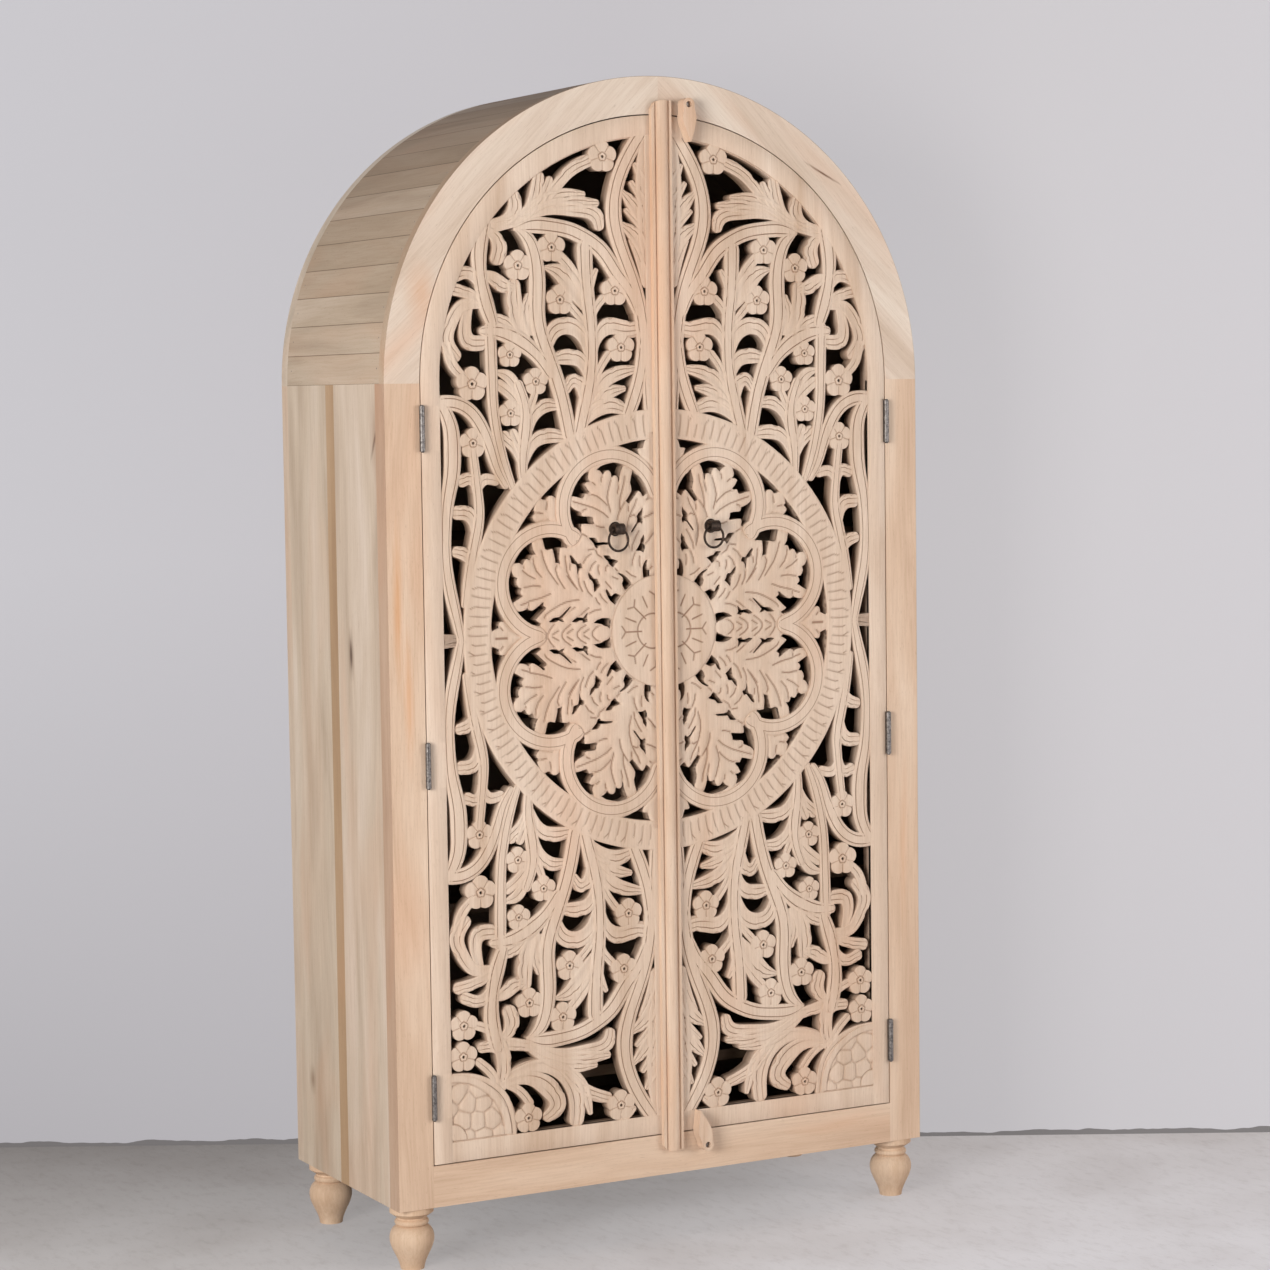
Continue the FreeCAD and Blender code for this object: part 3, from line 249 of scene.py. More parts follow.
def boardsAcross(tree, parts, axis, edges, tones):
    # Board number from steps along one axis; the tones go with the steps
    low, high = min(edges), max(edges)
    share = addNode(tree, "MapRange", None, parts[axis], low, high)
    steps = tuple(((edge - low) / (high - low), tone) for edge, tone in zip(edges, tones))
    tone = addNode(tree, "ValToRGB", {"steps": steps}, share)
    return tone, addNode(tree, "Math", "MULTIPLY", addNode(tree, "RGBToBW", None, tone), 9.0)


def sideBoards(tree, parts):
    # The upright boards of a side, from the front post backwards
    return boardsAcross(tree, parts, "Y", (-0.1685, 0.0012, 0.0344, 0.2005),
                        ("#FFFFFF", "#DDCAB2", "#FCFDFC", "#E4D2BE"))


def backBoards(tree, parts):
    # The six upright boards of the back, 146 mm each
    edges = tuple(-0.438 + 0.146 * place for place in range(7))
    return boardsAcross(tree, parts, "X", edges,
                        ("#F2E8DC", "#FFFFFF", "#E9DCCD", "#F8F0E6", "#EADFD2", "#FFFFFF", "#F2E8DC"))


def overSpring(tree, parts):
    # Height less the spring line, in metres
    return addNode(tree, "Math", "SUBTRACT", parts["Z"], cabinet["springHeight"] / 1000)


def fromArchMiddle(tree, parts):
    # Root of the squares of across and height over the spring line
    up = overSpring(tree, parts)
    square = addNode(tree, "Math", "MULTIPLY", parts["X"], parts["X"])
    return addNode(tree, "Math", "SQRT", addNode(tree, "Math", "MULTIPLY_ADD", up, up, square))


def fromMiddle(tree, parts):
    # Distance from the middle plane, |x|
    return addNode(tree, "Math", "ABSOLUTE", parts["X"])


def fromFront(tree, parts):
    # Place along the depth, y
    return parts["Y"]


def alongArch(tree, parts):
    # Straight grain of the two boards that the arch is sawn from: each runs from the spring line to the
    # crown at 45 degrees. Across is |x| plus height over root two, along is height less |x| over root two.
    up, out = overSpring(tree, parts), fromMiddle(tree, parts)
    across = addNode(tree, "Math", "MULTIPLY", addNode(tree, "Math", "ADD", out, up), 0.7071)
    along = addNode(tree, "Math", "MULTIPLY", addNode(tree, "Math", "SUBTRACT", up, out), 0.7071)
    along = addNode(tree, "Math", "MULTIPLY_ADD", addNode(tree, "Math", "SIGN", parts["X"]), 2.0, along)
    return addNode(tree, "CombineXYZ", None, across, parts["Y"], along)


def paintedShadeUp(tree, parts):
    # Painted shade: greyer towards the crown, where less light falls; the ramp runs on twice the metres over the
    # spring line, which is about 1 at the crown
    up = addNode(tree, "Math", "MULTIPLY_ADD", parts["Z"], 2.0, -cabinet["springHeight"] / 500)
    stops = ((0.1, "#FFFFFF"), (0.6, "#E8E2DC"), (0.9, "#CFC7C0"), (1.0, "#C0B7AF"))
    return addNode(tree, "ValToRGB", {"stops": stops}, up)


def roofStaves(tree, parts):
    # Number of the stave from the angle about the arch's middle, 32 staves in half a turn
    angle = addNode(tree, "Math", "ARCTAN2", overSpring(tree, parts), parts["X"])
    staves = addNode(tree, "Math", "MULTIPLY", angle, 32 / math.pi)
    chance = addNode(tree, "TexWhiteNoise", {"noise_dimensions": "1D"}, addNode(tree, "Math", "FLOOR", staves))
    stops = ((0.0, "#E2DACF"), (0.35, "#ECE6DE"), (0.7, "#F5F1EC"), (1.0, "#FFFFFF"))
    tone = addNode(tree, "ValToRGB", {"stops": stops}, chance)
    # A dark seam between neighbours, and painted shade growing towards the crown
    within = addNode(tree, "Math", "PINGPONG", staves, 0.5)
    seam = addNode(tree, "ValToRGB", {"stops": ((0.006, "#A3998D"), (0.018, "#FFFFFF"))}, within)
    tone = addNode(tree, "Mix", multiplied, 1.0, tone, seam)
    return addNode(tree, "Mix", multiplied, 1.0, tone, paintedShadeUp(tree, parts)), chance


def roughIron(name, dark, light, roughness, speck):
    # Cast or stamped iron, blackened and worn: dull, uneven, browner where it is rubbed
    made, tree = newMaterial(name)
    coordinates = addNode(tree, "TexCoord", output="Object")
    wear = stretchedNoise(tree, coordinates, (speck, speck, speck), 5.0, 0.65)
    pits = stretchedNoise(tree, coordinates, (900.0, 900.0, 900.0), 3.0, 0.6)
    colour = addNode(tree, "ValToRGB", {"stops": ((0.35, dark), (0.62, light))}, wear)
    rough = addNode(tree, "MapRange", None, wear, {"To Min": roughness - 0.1, "To Max": roughness + 0.12})
    bump = addNode(tree, "Bump", None, 0.4, 0.0004, {"Height": pits})
    shader = addNode(tree, "BsdfPrincipled", None, {"Metallic": 0.85, "Base Color": colour, "Roughness": rough,
                                                    "Normal": bump})
    addNode(tree, "OutputMaterial", None, shader)
    return made


# Knots, cracks and flames: place, size, strength, tone, and the turn of a slanting one
sideKnots = (
    ((-0.5, -0.05, 1.0), (0.04, 0.013, 0.05), 0.8, "#6E5442"),
    ((-0.5, -0.05, 1.0), (0.04, 0.006, 0.03), 0.8, "#4E3A2E"),
    ((-0.5, -0.168, 1.352), (0.04, 0.006, 0.05), 1.0, "#4A3326", (-0.45, 0.0, 0.0)),
    ((-0.5, -0.17, 1.36), (0.04, 0.03, 0.09), 0.6, "#9C7C66"),
    ((-0.5, 0.15, 0.26), (0.04, 0.016, 0.03), 0.6, "#7A5A40"),
    ((-0.5, 0.21, 0.55), (0.04, 0.014, 0.34), 0.55, "#8A6A52"),
)
postKnots = (
    ((-0.478, -0.2045, 1.08), (0.011, 0.06, 0.16), 0.55, "#D5975F"),
    ((-0.462, -0.2045, 0.93), (0.012, 0.06, 0.14), 0.5, "#DB9E6B"),
    ((0.47, -0.2045, 0.62), (0.012, 0.06, 0.2), 0.3, "#D9A277"),
)
archKnots = (
    ((-0.43, -0.2045, 1.58), (0.035, 0.06, 0.06), 0.4, "#D79B6C"),
    ((0.317, -0.2045, 1.791), (0.048, 0.06, 0.0028), 1.0, "#70482F", (0.0, -0.464, 0.0)),
)
innerHalf, outerHalf = 0.498, 0.4994
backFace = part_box("back_boards")[1][1] - 0.001
materials = {
    "post": bleachedMango("bleached_mango_planed_upright", woodTones["front"], blushShare=0.38, knots=postKnots,
                          rim=(fromMiddle, outerHalf, "#E0DBD9")),
    "postRear": bleachedMango("bleached_mango_planed_rear_upright", woodTones["side"]),
    "rail": bleachedMango("bleached_mango_planed_level", woodTones["front"], 0, blushShare=0.3),
    "arch": bleachedMango("bleached_mango_sawn_arch", woodTones["arch"], blushShare=0.4, follow=alongArch,
                          knots=archKnots, rim=(fromArchMiddle, outerHalf, "#DBD3C8")),
    "archRear": bleachedMango("bleached_mango_sawn_arch_rear", woodTones["roof"], follow=alongArch),
    # The inner masks paint shade on the faces inside the cabinet
    "side": bleachedMango("bleached_mango_side_boards", woodTones["side"], boards=sideBoards, knots=sideKnots,
                          inner=(fromMiddle, innerHalf)),
    "back": bleachedMango("bleached_mango_back_boards", woodTones["side"], boards=backBoards,
                          inner=(fromFront, backFace)),
    "roof": bleachedMango("bleached_mango_bent_staves", woodTones["roof"], 1, boards=roofStaves,
                          inner=(fromArchMiddle, innerHalf)),
    # Shelves, ribs, door stops and foot blocks take the inside tones, darkened as painted shade
    "inside": bleachedMango("raw_mango_inside_painted_shade", woodTones["inside"], 0, "#6E4E38", 0.15),
    "carved": bleachedMango("bleached_mango_carved", woodTones["carved"], 2, "#DCAE8E", 0.3, carved=True),
    "trim": bleachedMango("bleached_mango_moulded_strip", woodTones["trim"], 2, "#DDA880", 0.4),
    "foot": bleachedMango("bleached_mango_turned", woodTones["foot"], 2, "#D9A67F", 0.5),
    "hinge": roughIron("stamped_steel_worn", "#4A4644", "#8C8784", 0.45, 220.0),
    "screw": roughIron("steel_screws_dull", "#57514D", "#8E8883", 0.42, 400.0),
    "pull": roughIron("forged_iron_blackened", "#241E1B", "#4B3D34", 0.5, 160.0),
}
print("materials made", len(materials))

# How the names of the pieces start, and their finish; the longest start that fits counts
nodeFinish = {
    "post_front": "post", "post_rear": "postRear", "rail_": "rail", "side_boards": "side", "arch_": "arch",
    "arch_rear": "archRear",
    "roof_rib": "inside", "roof_staves": "roof", "back_boards": "back", "shelf_": "inside",
    "floor_": "inside", "foot_blocks": "inside", "foot_": "foot", "roof_nails": "screw",
    "door_stops": "inside", "button_top": "trim", "button_bottom": "trim", "button_screws": "screw",
    "button_washers": "screw", "hinge_leaves": "hinge", "hinge_pins": "hinge", "hinge_screws": "screw",
    "door_left_panel": "carved", "door_right_panel": "carved", "astragal_nails": "screw", "astragal": "trim",
    "pull_": "pull",
}
for nodeName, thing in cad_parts.items():
    known = [start for start in nodeFinish if nodeName.startswith(start)]
    finish = nodeFinish[max(known, key=len)]
    for slotPlace in range(len(thing.material_slots)):
        thing.material_slots[slotPlace].material = materials[finish]
    if not thing.material_slots:
        thing.data.materials.append(materials[finish])
print("nodes finished")


# Building pieces from numpy arrays

def collectParts(parts):
    # Many closed shapes as one: vertices and marks stacked, the face numbers moved up by what came before
    places, marks, faces, count = [], [], [], 0
    for place, mark, face in parts:
        places.append(place)
        marks.append(mark)
        faces += [tuple(int(number) + count for number in one) for one in face]
        count += len(place)
    return np.concatenate(places), np.concatenate(marks), faces


def makePiece(name, parts, body, material, side=1, proud=0.0, sharp=35.0):
    # Drawing millimetres (across, height, depth) to metres: X is the side times across, Y is the front plane
    # plus depth less the door's proud, Z is the height; every closed shape gets its faces outwards
    places, marks, faces = collectParts(parts)
    inMetres = np.empty_like(places)
    inMetres[:, 0] = places[:, 0] * side / 1000
    inMetres[:, 1] = cabinet["frontY"] + (places[:, 2] - proud) / 1000
    inMetres[:, 2] = places[:, 1] / 1000
    mesh = bpy.data.meshes.new(name)
    mesh.from_pydata(inMetres.tolist(), [], faces)
    # The cut attribute holds painted shade for the grooves, edges and walls of the relief
    mark = mesh.attributes.new("cut", "FLOAT", "POINT")
    mark.data.foreach_set("value", marks.astype(np.float32))
    work = bmesh.new()
    work.from_mesh(mesh)
    bmesh.ops.recalc_face_normals(work, faces=work.faces)
    work.to_mesh(mesh)
    work.free()
    mesh.polygons.foreach_set("use_smooth", np.ones(len(mesh.polygons), dtype=bool))
    mesh.set_sharp_from_angle(angle=math.radians(sharp))
    mesh.materials.append(material)
    piece = bpy.data.objects.new(name, mesh)
    bpy.context.scene.collection.objects.link(piece)
    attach(piece, body)
    mesh.calc_loop_triangles()
    print("piece", name, len(mesh.loop_triangles), "triangles")
    return piece


def gridPlace(across, height):
    # The drawing's parts to millimetres: one part is one millimetre across, and upwards too inside the ring;
    # beyond the ring's height a part upwards is a little shorter, so that 852 parts reach the crown
    crown = cabinet["springHeight"] + cabinet["doorHalf"]
    upward = (crown - cabinet["doorMiddle"] - cabinet["ringRadius"]) / (cabinet["riseShares"] - cabinet["ringRadius"])
    above = np.abs(height - cabinet["middleShares"])
    rise = np.where(above <= cabinet["ringRadius"], above,
                    cabinet["ringRadius"] + (above - cabinet["ringRadius"]) * upward)
    return across, cabinet["doorMiddle"] + np.sign(height - cabinet["middleShares"]) * rise


def smoothCurve(points, at):
    # Natural cubic spline through the points: second slopes solve the usual three-term rows, and between two
    # points the curve is the weighted sum of both points and both second slopes. at counts points.
    count = len(points)
    gaps = np.maximum(np.hypot(*np.diff(points, axis=0).T), 1e-6)
    knots = np.concatenate([[0.0], np.cumsum(gaps)])
    if count == 2:
        return points[0] + (points[1] - points[0]) * at[:, None]
    rows = np.eye(count)
    right = np.zeros((count, 2))
    for row in range(1, count - 1):
        rows[row, row - 1:row + 2] = gaps[row - 1], 2 * (gaps[row - 1] + gaps[row]), gaps[row]
        ahead = (points[row + 1] - points[row]) / gaps[row]
        right[row] = 6 * (ahead - (points[row] - points[row - 1]) / gaps[row - 1])
    bends = np.linalg.solve(rows, right)
    span = np.minimum(at.astype(int), count - 2)
    step = gaps[span][:, None]
    share = (at - span)[:, None]
    rest = 1 - share
    return (rest * points[span] + share * points[span + 1]
            + step ** 2 / 6 * ((rest ** 3 - rest) * bends[span] + (share ** 3 - share) * bends[span + 1]))


def strokeFrame(points, perSpan, widen):
    # A stroke's places in millimetres with its heading, half its width and the way to its left edge there, and
    # the finer steps along it. The heading is the difference of the curve just ahead and just behind.
    middle = np.stack(gridPlace(points[:, 0], points[:, 1]), axis=1)
    last = len(points) - 1
    places, nudge = np.arange(last + 1, dtype=float), 1e-3
    heading = (smoothCurve(middle, np.clip(places + nudge, 0, last))
               - smoothCurve(middle, np.clip(places - nudge, 0, last)))
    heading /= np.linalg.norm(heading, axis=1)[:, None]
    half = points[:, 2] / 2 + widen
    offset = np.stack([-heading[:, 1], heading[:, 0]], axis=1) * half[:, None]
    return middle, heading, half, offset, np.linspace(0, last, last * perSpan + 1)


def strokeEdges(points, cut):
    # Both edges of a stroke: each point is set off by half its width square to the curve, both edges are
    # smooth curves through those, and a half circle closes each end
    middle, heading, half, offset, at = strokeFrame(points, cut["perSpan"], cut["widen"])
    left = smoothCurve(middle + offset, at)
    right = smoothCurve(middle - offset, at)
    turn = np.linspace(0, 1, cut["capRows"] + 1)[1:] * math.radians(cut["capDegrees"])
    ends = []
    for end, sign in ((0, -1), (-1, 1)):
        out = middle[end] + sign * heading[end] * half[end] * np.sin(turn)[:, None]
        reach = offset[end] * np.cos(turn)[:, None]
        ends.append((out + reach, out - reach))
    left = np.concatenate([ends[0][0][::-1], left, ends[1][0]])
    right = np.concatenate([ends[0][1][::-1], right, ends[1][1]])
    return left, right


def bandSolid(left, right, shares, depths, marks, bottom):
    # Closed shape between two edges: each row runs from the left foot over the top, given by depths at the
    # shares from left to right, down to the right foot; rows are joined by quads and both ends closed
    rows, columns = depths.shape
    loops = np.empty((rows, columns + 2, 3))
    spots = (shares + 1) / 2
    loops[:, 1:-1, :2] = left[:, None, :] + (right - left)[:, None, :] * spots[None, :, None]
    loops[:, 1:-1, 2] = depths
    loops[:, 0, :2] = left
    loops[:, -1, :2] = right
    loops[:, 0, 2] = loops[:, -1, 2] = bottom
    tones = np.empty((rows, columns + 2))
    tones[:, 1:-1] = marks
    # Painted shade: the feet of a band's sides are marked as about half in shade
    tones[:, 0] = tones[:, -1] = 0.55
    width = columns + 2
    row, column = np.meshgrid(np.arange(rows - 1), np.arange(width), indexing="ij")
    start = row * width + column
    side = row * width + (column + 1) % width
    faces = np.stack([start, side, side + width, start + width], axis=-1).reshape(-1, 4).tolist()
    faces.append(list(range(width))[::-1])
    faces.append(list(range((rows - 1) * width, rows * width)))
    return loops.reshape(-1, 3), tones.ravel(), faces


stemCut = {"bottom": 9.0, "level": 0.3, "grooves": 0.56, "grooveDepth": 1.5, "edgeDrop": 1.3, "crown": 0.3,
           "perSpan": 6, "capRows": 3, "capDegrees": 83.0, "widen": 0.3, "fullHalf": 12.0, "thinHalf": 7.0,
           "thinDrop": 2.5}
stemShares = np.array([-1, -0.93, -0.8, -0.64, -0.56, -0.48, -0.25, 0, 0.25, 0.48, 0.56, 0.64, 0.8, 0.93, 1])


def carvedStem(points, cut=stemCut):
    # Top of a stem: its level, less a crown that falls as the square of the share, plus an edge drop as the
    # sixth power, plus two sharp grooves; a thin end sinks away
    left, right = strokeEdges(points, cut)
    shares = stemShares
    groove = (np.abs(np.abs(shares) - cut["grooves"]) < 0.01).astype(float)
    half = np.linalg.norm(right - left, axis=1)[:, None] / 2
    scale = np.clip(half / cut["fullHalf"], 0.25, 1.2)
    depths = (cut["level"] + cut["crown"] * (shares ** 2)[None, :] * scale
              + cut["edgeDrop"] * (np.abs(shares) ** 6)[None, :] * scale
              + cut["grooveDepth"] * groove[None, :] * scale)
    depths = depths + cut["thinDrop"] * np.clip(1 - half / cut["thinHalf"], 0, 1)
    marks = groove[None, :] * np.clip(half / 9, 0, 1)
    return bandSolid(left, right, shares, depths, marks, cut["bottom"])


leafCut = {"bottom": 9.0, "level": 1.0, "rootDrop": 0.9, "tipDrop": 1.0, "edgeDrop": 1.2, "grooveDepth": 1.5,
           "scoop": 1.4, "finger": 0.38, "notch": 0.6, "bite": 0.27, "bites": (0.56, 0.82), "wide": 19.0,
           "perSpan": 5, "widen": 0.3, "fullHalf": 10.0, "outerStart": 0.25, "innerStart": 0.55, "narrowStart": 0.3,
           "lastDrop": 0.9}
leafShares = np.array([-1, -0.94, -0.78, -0.56, -0.46, -0.38, -0.3, -0.16, -0.07, 0,
                       0.07, 0.16, 0.3, 0.38, 0.46, 0.56, 0.78, 0.94, 1])


def carvedLobe(points, cut=leafCut):
    # A leaf lobe on a grid: shares across it, rows from its root to its tip. The tip's reach is a half
    # circle with a notch where each cut line ends, two for a wide lobe and one for a narrow one, and the
    # outer side of the bend is bitten twice. The top is flat, scooped a little, and rounded at its edges.
    middle, heading, half, offset, at = strokeFrame(points, cut["perSpan"], cut["widen"])
    centre = smoothCurve(middle, at)
    sides = [smoothCurve(middle + offset, at) - centre, smoothCurve(middle - offset, at) - centre]
    wide = points[:, 2].max() >= cut["wide"]
    turning = heading[0, 0] * heading[-1, 1] - heading[0, 1] * heading[-1, 0]
    bitten = np.ones(len(at))
    if wide:
        bitten[[int(share * len(at)) for share in cut["bites"]]] -= cut["bite"]
    outer = 1 if turning > 0 else 0
    sides[outer] = sides[outer] * bitten[:, None]
    shares = leafShares
    weight = np.abs(shares)[None, :, None]
    side = np.where(shares[None, :, None] < 0, sides[0][:, None, :], sides[1][:, None, :])
    body = centre[:, None, :] + weight * side
    lineAt = cut["finger"] if wide else 0.0
    arc = np.sqrt(1 - (0.985 * shares) ** 2)
    notched = arc * (1 - cut["notch"] * np.exp(-((np.abs(shares) - lineAt) / 0.1) ** 2))
    rootReach, tipReach = np.array([1.0, 0.5])[:, None], np.array([0.35, 0.65, 0.88, 1.0])[:, None]
    root = body[0][None] - heading[0] * (half[0] * rootReach * arc[None, :])[..., None]
    tip = body[-1][None] + heading[-1] * (half[-1] * tipReach * notched[None, :])[..., None]
    grid = np.concatenate([root, body, tip])
    run = np.concatenate([[0.0], np.cumsum(np.linalg.norm(np.diff(centre, axis=0), axis=1))])
    along = np.concatenate([[0, 0], run / run[-1], [1, 1, 1, 1]])[:, None]
    lastRow = np.zeros_like(along)
    lastRow[-1], lastRow[-2] = 1.0, 0.3
    scale = np.clip(np.interp(along, run / run[-1], np.linalg.norm(sides[0], axis=1)) / cut["fullHalf"], 0.3, 1.3)
    line = (np.abs(np.abs(shares) - lineAt) < 0.02).astype(float)[None, :]
    # The line on the outer side starts near the root, the one on the inner side only halfway to the tip
    onOuter = (shares > 0) == (outer == 1)
    start = np.where(onOuter, cut["outerStart"], cut["innerStart"])[None, :] if wide else cut["narrowStart"]
    window = np.clip((along - start) / 0.2, 0, 1)
    depths = (cut["level"] + cut["rootDrop"] * (1 - along) ** 3 + cut["tipDrop"] * along ** 4
              + cut["scoop"] * np.cos(np.pi * shares)[None, :] * scale * 0.5
              + cut["edgeDrop"] * (np.abs(shares) ** 9)[None, :] + cut["lastDrop"] * lastRow
              + cut["grooveDepth"] * line * window * np.clip(scale, 0.4, 1))
    marks = np.clip(0.9 * line * window + 0.25 * (np.abs(shares) > 0.99)[None, :] + 0.2 * lastRow, 0, 1)
    return patchSolid(np.concatenate([grid, depths[..., None]], axis=-1), marks * np.ones_like(depths), cut["bottom"])


def ringFaces(rings, around):
    # Faces of a closed shape of rings: quads from ring to ring, and one face inside the first and the last
    number = np.arange(rings * around).reshape(rings, around)
    after = np.roll(number, -1, axis=1)
    faces = np.stack([number[:-1], number[1:], after[1:], after[:-1]], axis=-1).reshape(-1, 4).tolist()
    return faces + [number[0].tolist(), number[-1][::-1].tolist()]


def patchSolid(top, marks, bottom):
    # Closed shape over a grid of places: the grid as its top, walls round its rim, and one flat face below
    rows, columns = marks.shape
    number = np.arange(rows * columns).reshape(rows, columns)
    quads = np.stack([number[:-1, :-1], number[:-1, 1:], number[1:, 1:], number[1:, :-1]], axis=-1).reshape(-1, 4)
    rim = np.concatenate([number[0, :], number[1:, -1], number[-1, -2::-1], number[-2:0:-1, 0]])
    low = top.reshape(-1, 3)[rim].copy()
    low[:, 2] = bottom
    foot = rows * columns + np.arange(len(rim))
    walls = np.stack([rim, foot, np.roll(foot, -1), np.roll(rim, -1)], axis=-1)
    faces = quads.tolist() + walls.tolist() + [foot.tolist()]
    # Painted shade: the foot of the walls is marked as half in shade
    tones = np.concatenate([marks.ravel(), np.full(len(rim), 0.5)])
    return np.concatenate([top.reshape(-1, 3), low]), tones, faces


flowerCut = {"petals": 5, "notch": 0.82, "level": 0.2, "bottom": 9.0, "boss": 0.23, "scoop": 0.9, "groove": 1.1,
             "edgeDrop": 1.2, "around": 60, "collar": 0.27, "collarDrop": 1.6, "bossMiddle": 0.17, "bossRise": 0.6,
             "eye": 0.085, "eyeDrop": 3.0}


def carvedFlower(across, height, radius, cut=flowerCut):
    # Petal rim: an arc from notch to notch, near enough the cosine between the two radii. Top by the share
    # of the way out: an eye pit, a round boss, a scoop in each petal, a groove between petals, a rounded rim
    x, z = gridPlace(np.float64(across), np.float64(height))
    turn = np.linspace(0, 2 * math.pi, cut["around"], endpoint=False)
    phase = (turn / (2 * math.pi) * cut["petals"] + 0.5) % 1 - 0.5
    rim = (radius + 0.3) * (cut["notch"] + (1 - cut["notch"]) * np.cos(np.pi * phase) ** 0.9)
    out = np.array([0.03, 0.08, 0.11, 0.17, 0.23, 0.27, 0.36, 0.5, 0.66, 0.8, 0.92, 1.0])
    share = out[:, None]
    valley = np.clip(1 - np.abs(np.abs(phase) - 0.5) / 0.07, 0, 1)[None, :] * (share > 0.3)
    petal = np.sin(np.pi * np.clip((share - cut["boss"]) / (1 - cut["boss"]), 0, 1)) * 0.9
    depth = (cut["level"] + cut["scoop"] * petal + cut["edgeDrop"] * share ** 7
             + cut["groove"] * valley * np.clip((share - 0.25) / 0.2, 0, 1))
    boss = np.clip(1 - np.abs(share - cut["bossMiddle"]) / 0.08, 0, 1)
    collar = np.abs(share - cut["collar"]) < 0.01
    depth = depth + cut["collarDrop"] * collar - cut["bossRise"] * boss + cut["eyeDrop"] * (share < cut["eye"])
    marks = np.clip((share < 0.1) * 1.0 + collar * 0.7 + valley * (share > 0.3) * 0.5, 0, 1)
    marks = marks * np.ones_like(turn)[None, :]
    places = np.empty((len(out), len(turn), 3))
    places[..., 0] = x + share * rim[None, :] * np.sin(turn)[None, :]
    places[..., 1] = z + share * rim[None, :] * np.cos(turn)[None, :]
    places[..., 2] = np.minimum(depth, cut["bottom"] - 1)
    rings, around = marks.shape
    foot = places[-1].copy()
    foot[:, 2] = cut["bottom"]
    spots = np.concatenate([places.reshape(-1, 3), foot])
    # Painted shade: the foot ring is marked as half in shade
    tones = np.concatenate([marks.ravel(), np.full(around, 0.5)])
    return spots, tones, ringFaces(rings + 1, around)


# The carving's drawing: each stroke is a run of points, across, height and width, for the right door above
# the ring's middle; the same strokes turned upside down lie below it
stemPoints = (
    ((30, 1846, 24), (60, 1800, 26), (82, 1740, 27), (83, 1700, 29), (73, 1660, 27), (55, 1615, 26),
     (38, 1560, 26), (30, 1500, 26)),
    ((30, 1510, 24), (38, 1450, 24), (56, 1395, 24), (66, 1372, 20)),
    ((24, 1500, 22), (24, 1430, 20), (20, 1375, 20)),
    ((262, 1684, 8), (235, 1690, 24), (200, 1689, 26), (165, 1683, 26), (135, 1670, 27), (108, 1651, 28),
     (79, 1612, 27), (58, 1586, 24), (42, 1552, 18)),
    ((262, 1684, 6), (244, 1672, 20), (229, 1640, 26), (225, 1590, 29), (225, 1535, 28), (210, 1485, 28),
     (188, 1425, 27), (171, 1350, 26)),
    ((322, 1519, 16), (298, 1518, 24), (256, 1502, 30), (228, 1480, 24), (206, 1452, 22)),
    ((311, 1524, 20), (310, 1480, 20), (309, 1430, 19), (307, 1390, 18), (300, 1345, 18), (288, 1300, 16),
     (276, 1268, 12)),
    ((410, 1402, 24), (380, 1404, 24), (350, 1391, 24), (328, 1362, 24), (313, 1326, 20), (302, 1294, 16),
     (288, 1270, 12)),
    ((400, 1402, 22), (385, 1370, 26), (381, 1330, 29), (383, 1290, 28), (392, 1245, 24), (396, 1200, 20),
     (396, 1150, 20), (389, 1100, 22), (378, 1052, 18), (372, 1022, 14)),
    ((345, 1325, 14), (342, 1300, 15), (338, 1262, 16), (336, 1225, 18), (344, 1180, 20), (355, 1130, 18),
     (364, 1080, 12)),
    ((153, 1350, 24), (143, 1390, 26), (132, 1440, 25), (128, 1490, 22), (130, 1540, 24), (136, 1595, 26),
     (138, 1655, 28)),
    ((320, 1690, 26), (328, 1650, 28), (326, 1600, 24), (318, 1565, 28), (308, 1535, 22)),
    ((256, 1276, 14), (256, 1320, 20), (250, 1360, 24), (251, 1400, 18), (262, 1432, 16)),
)
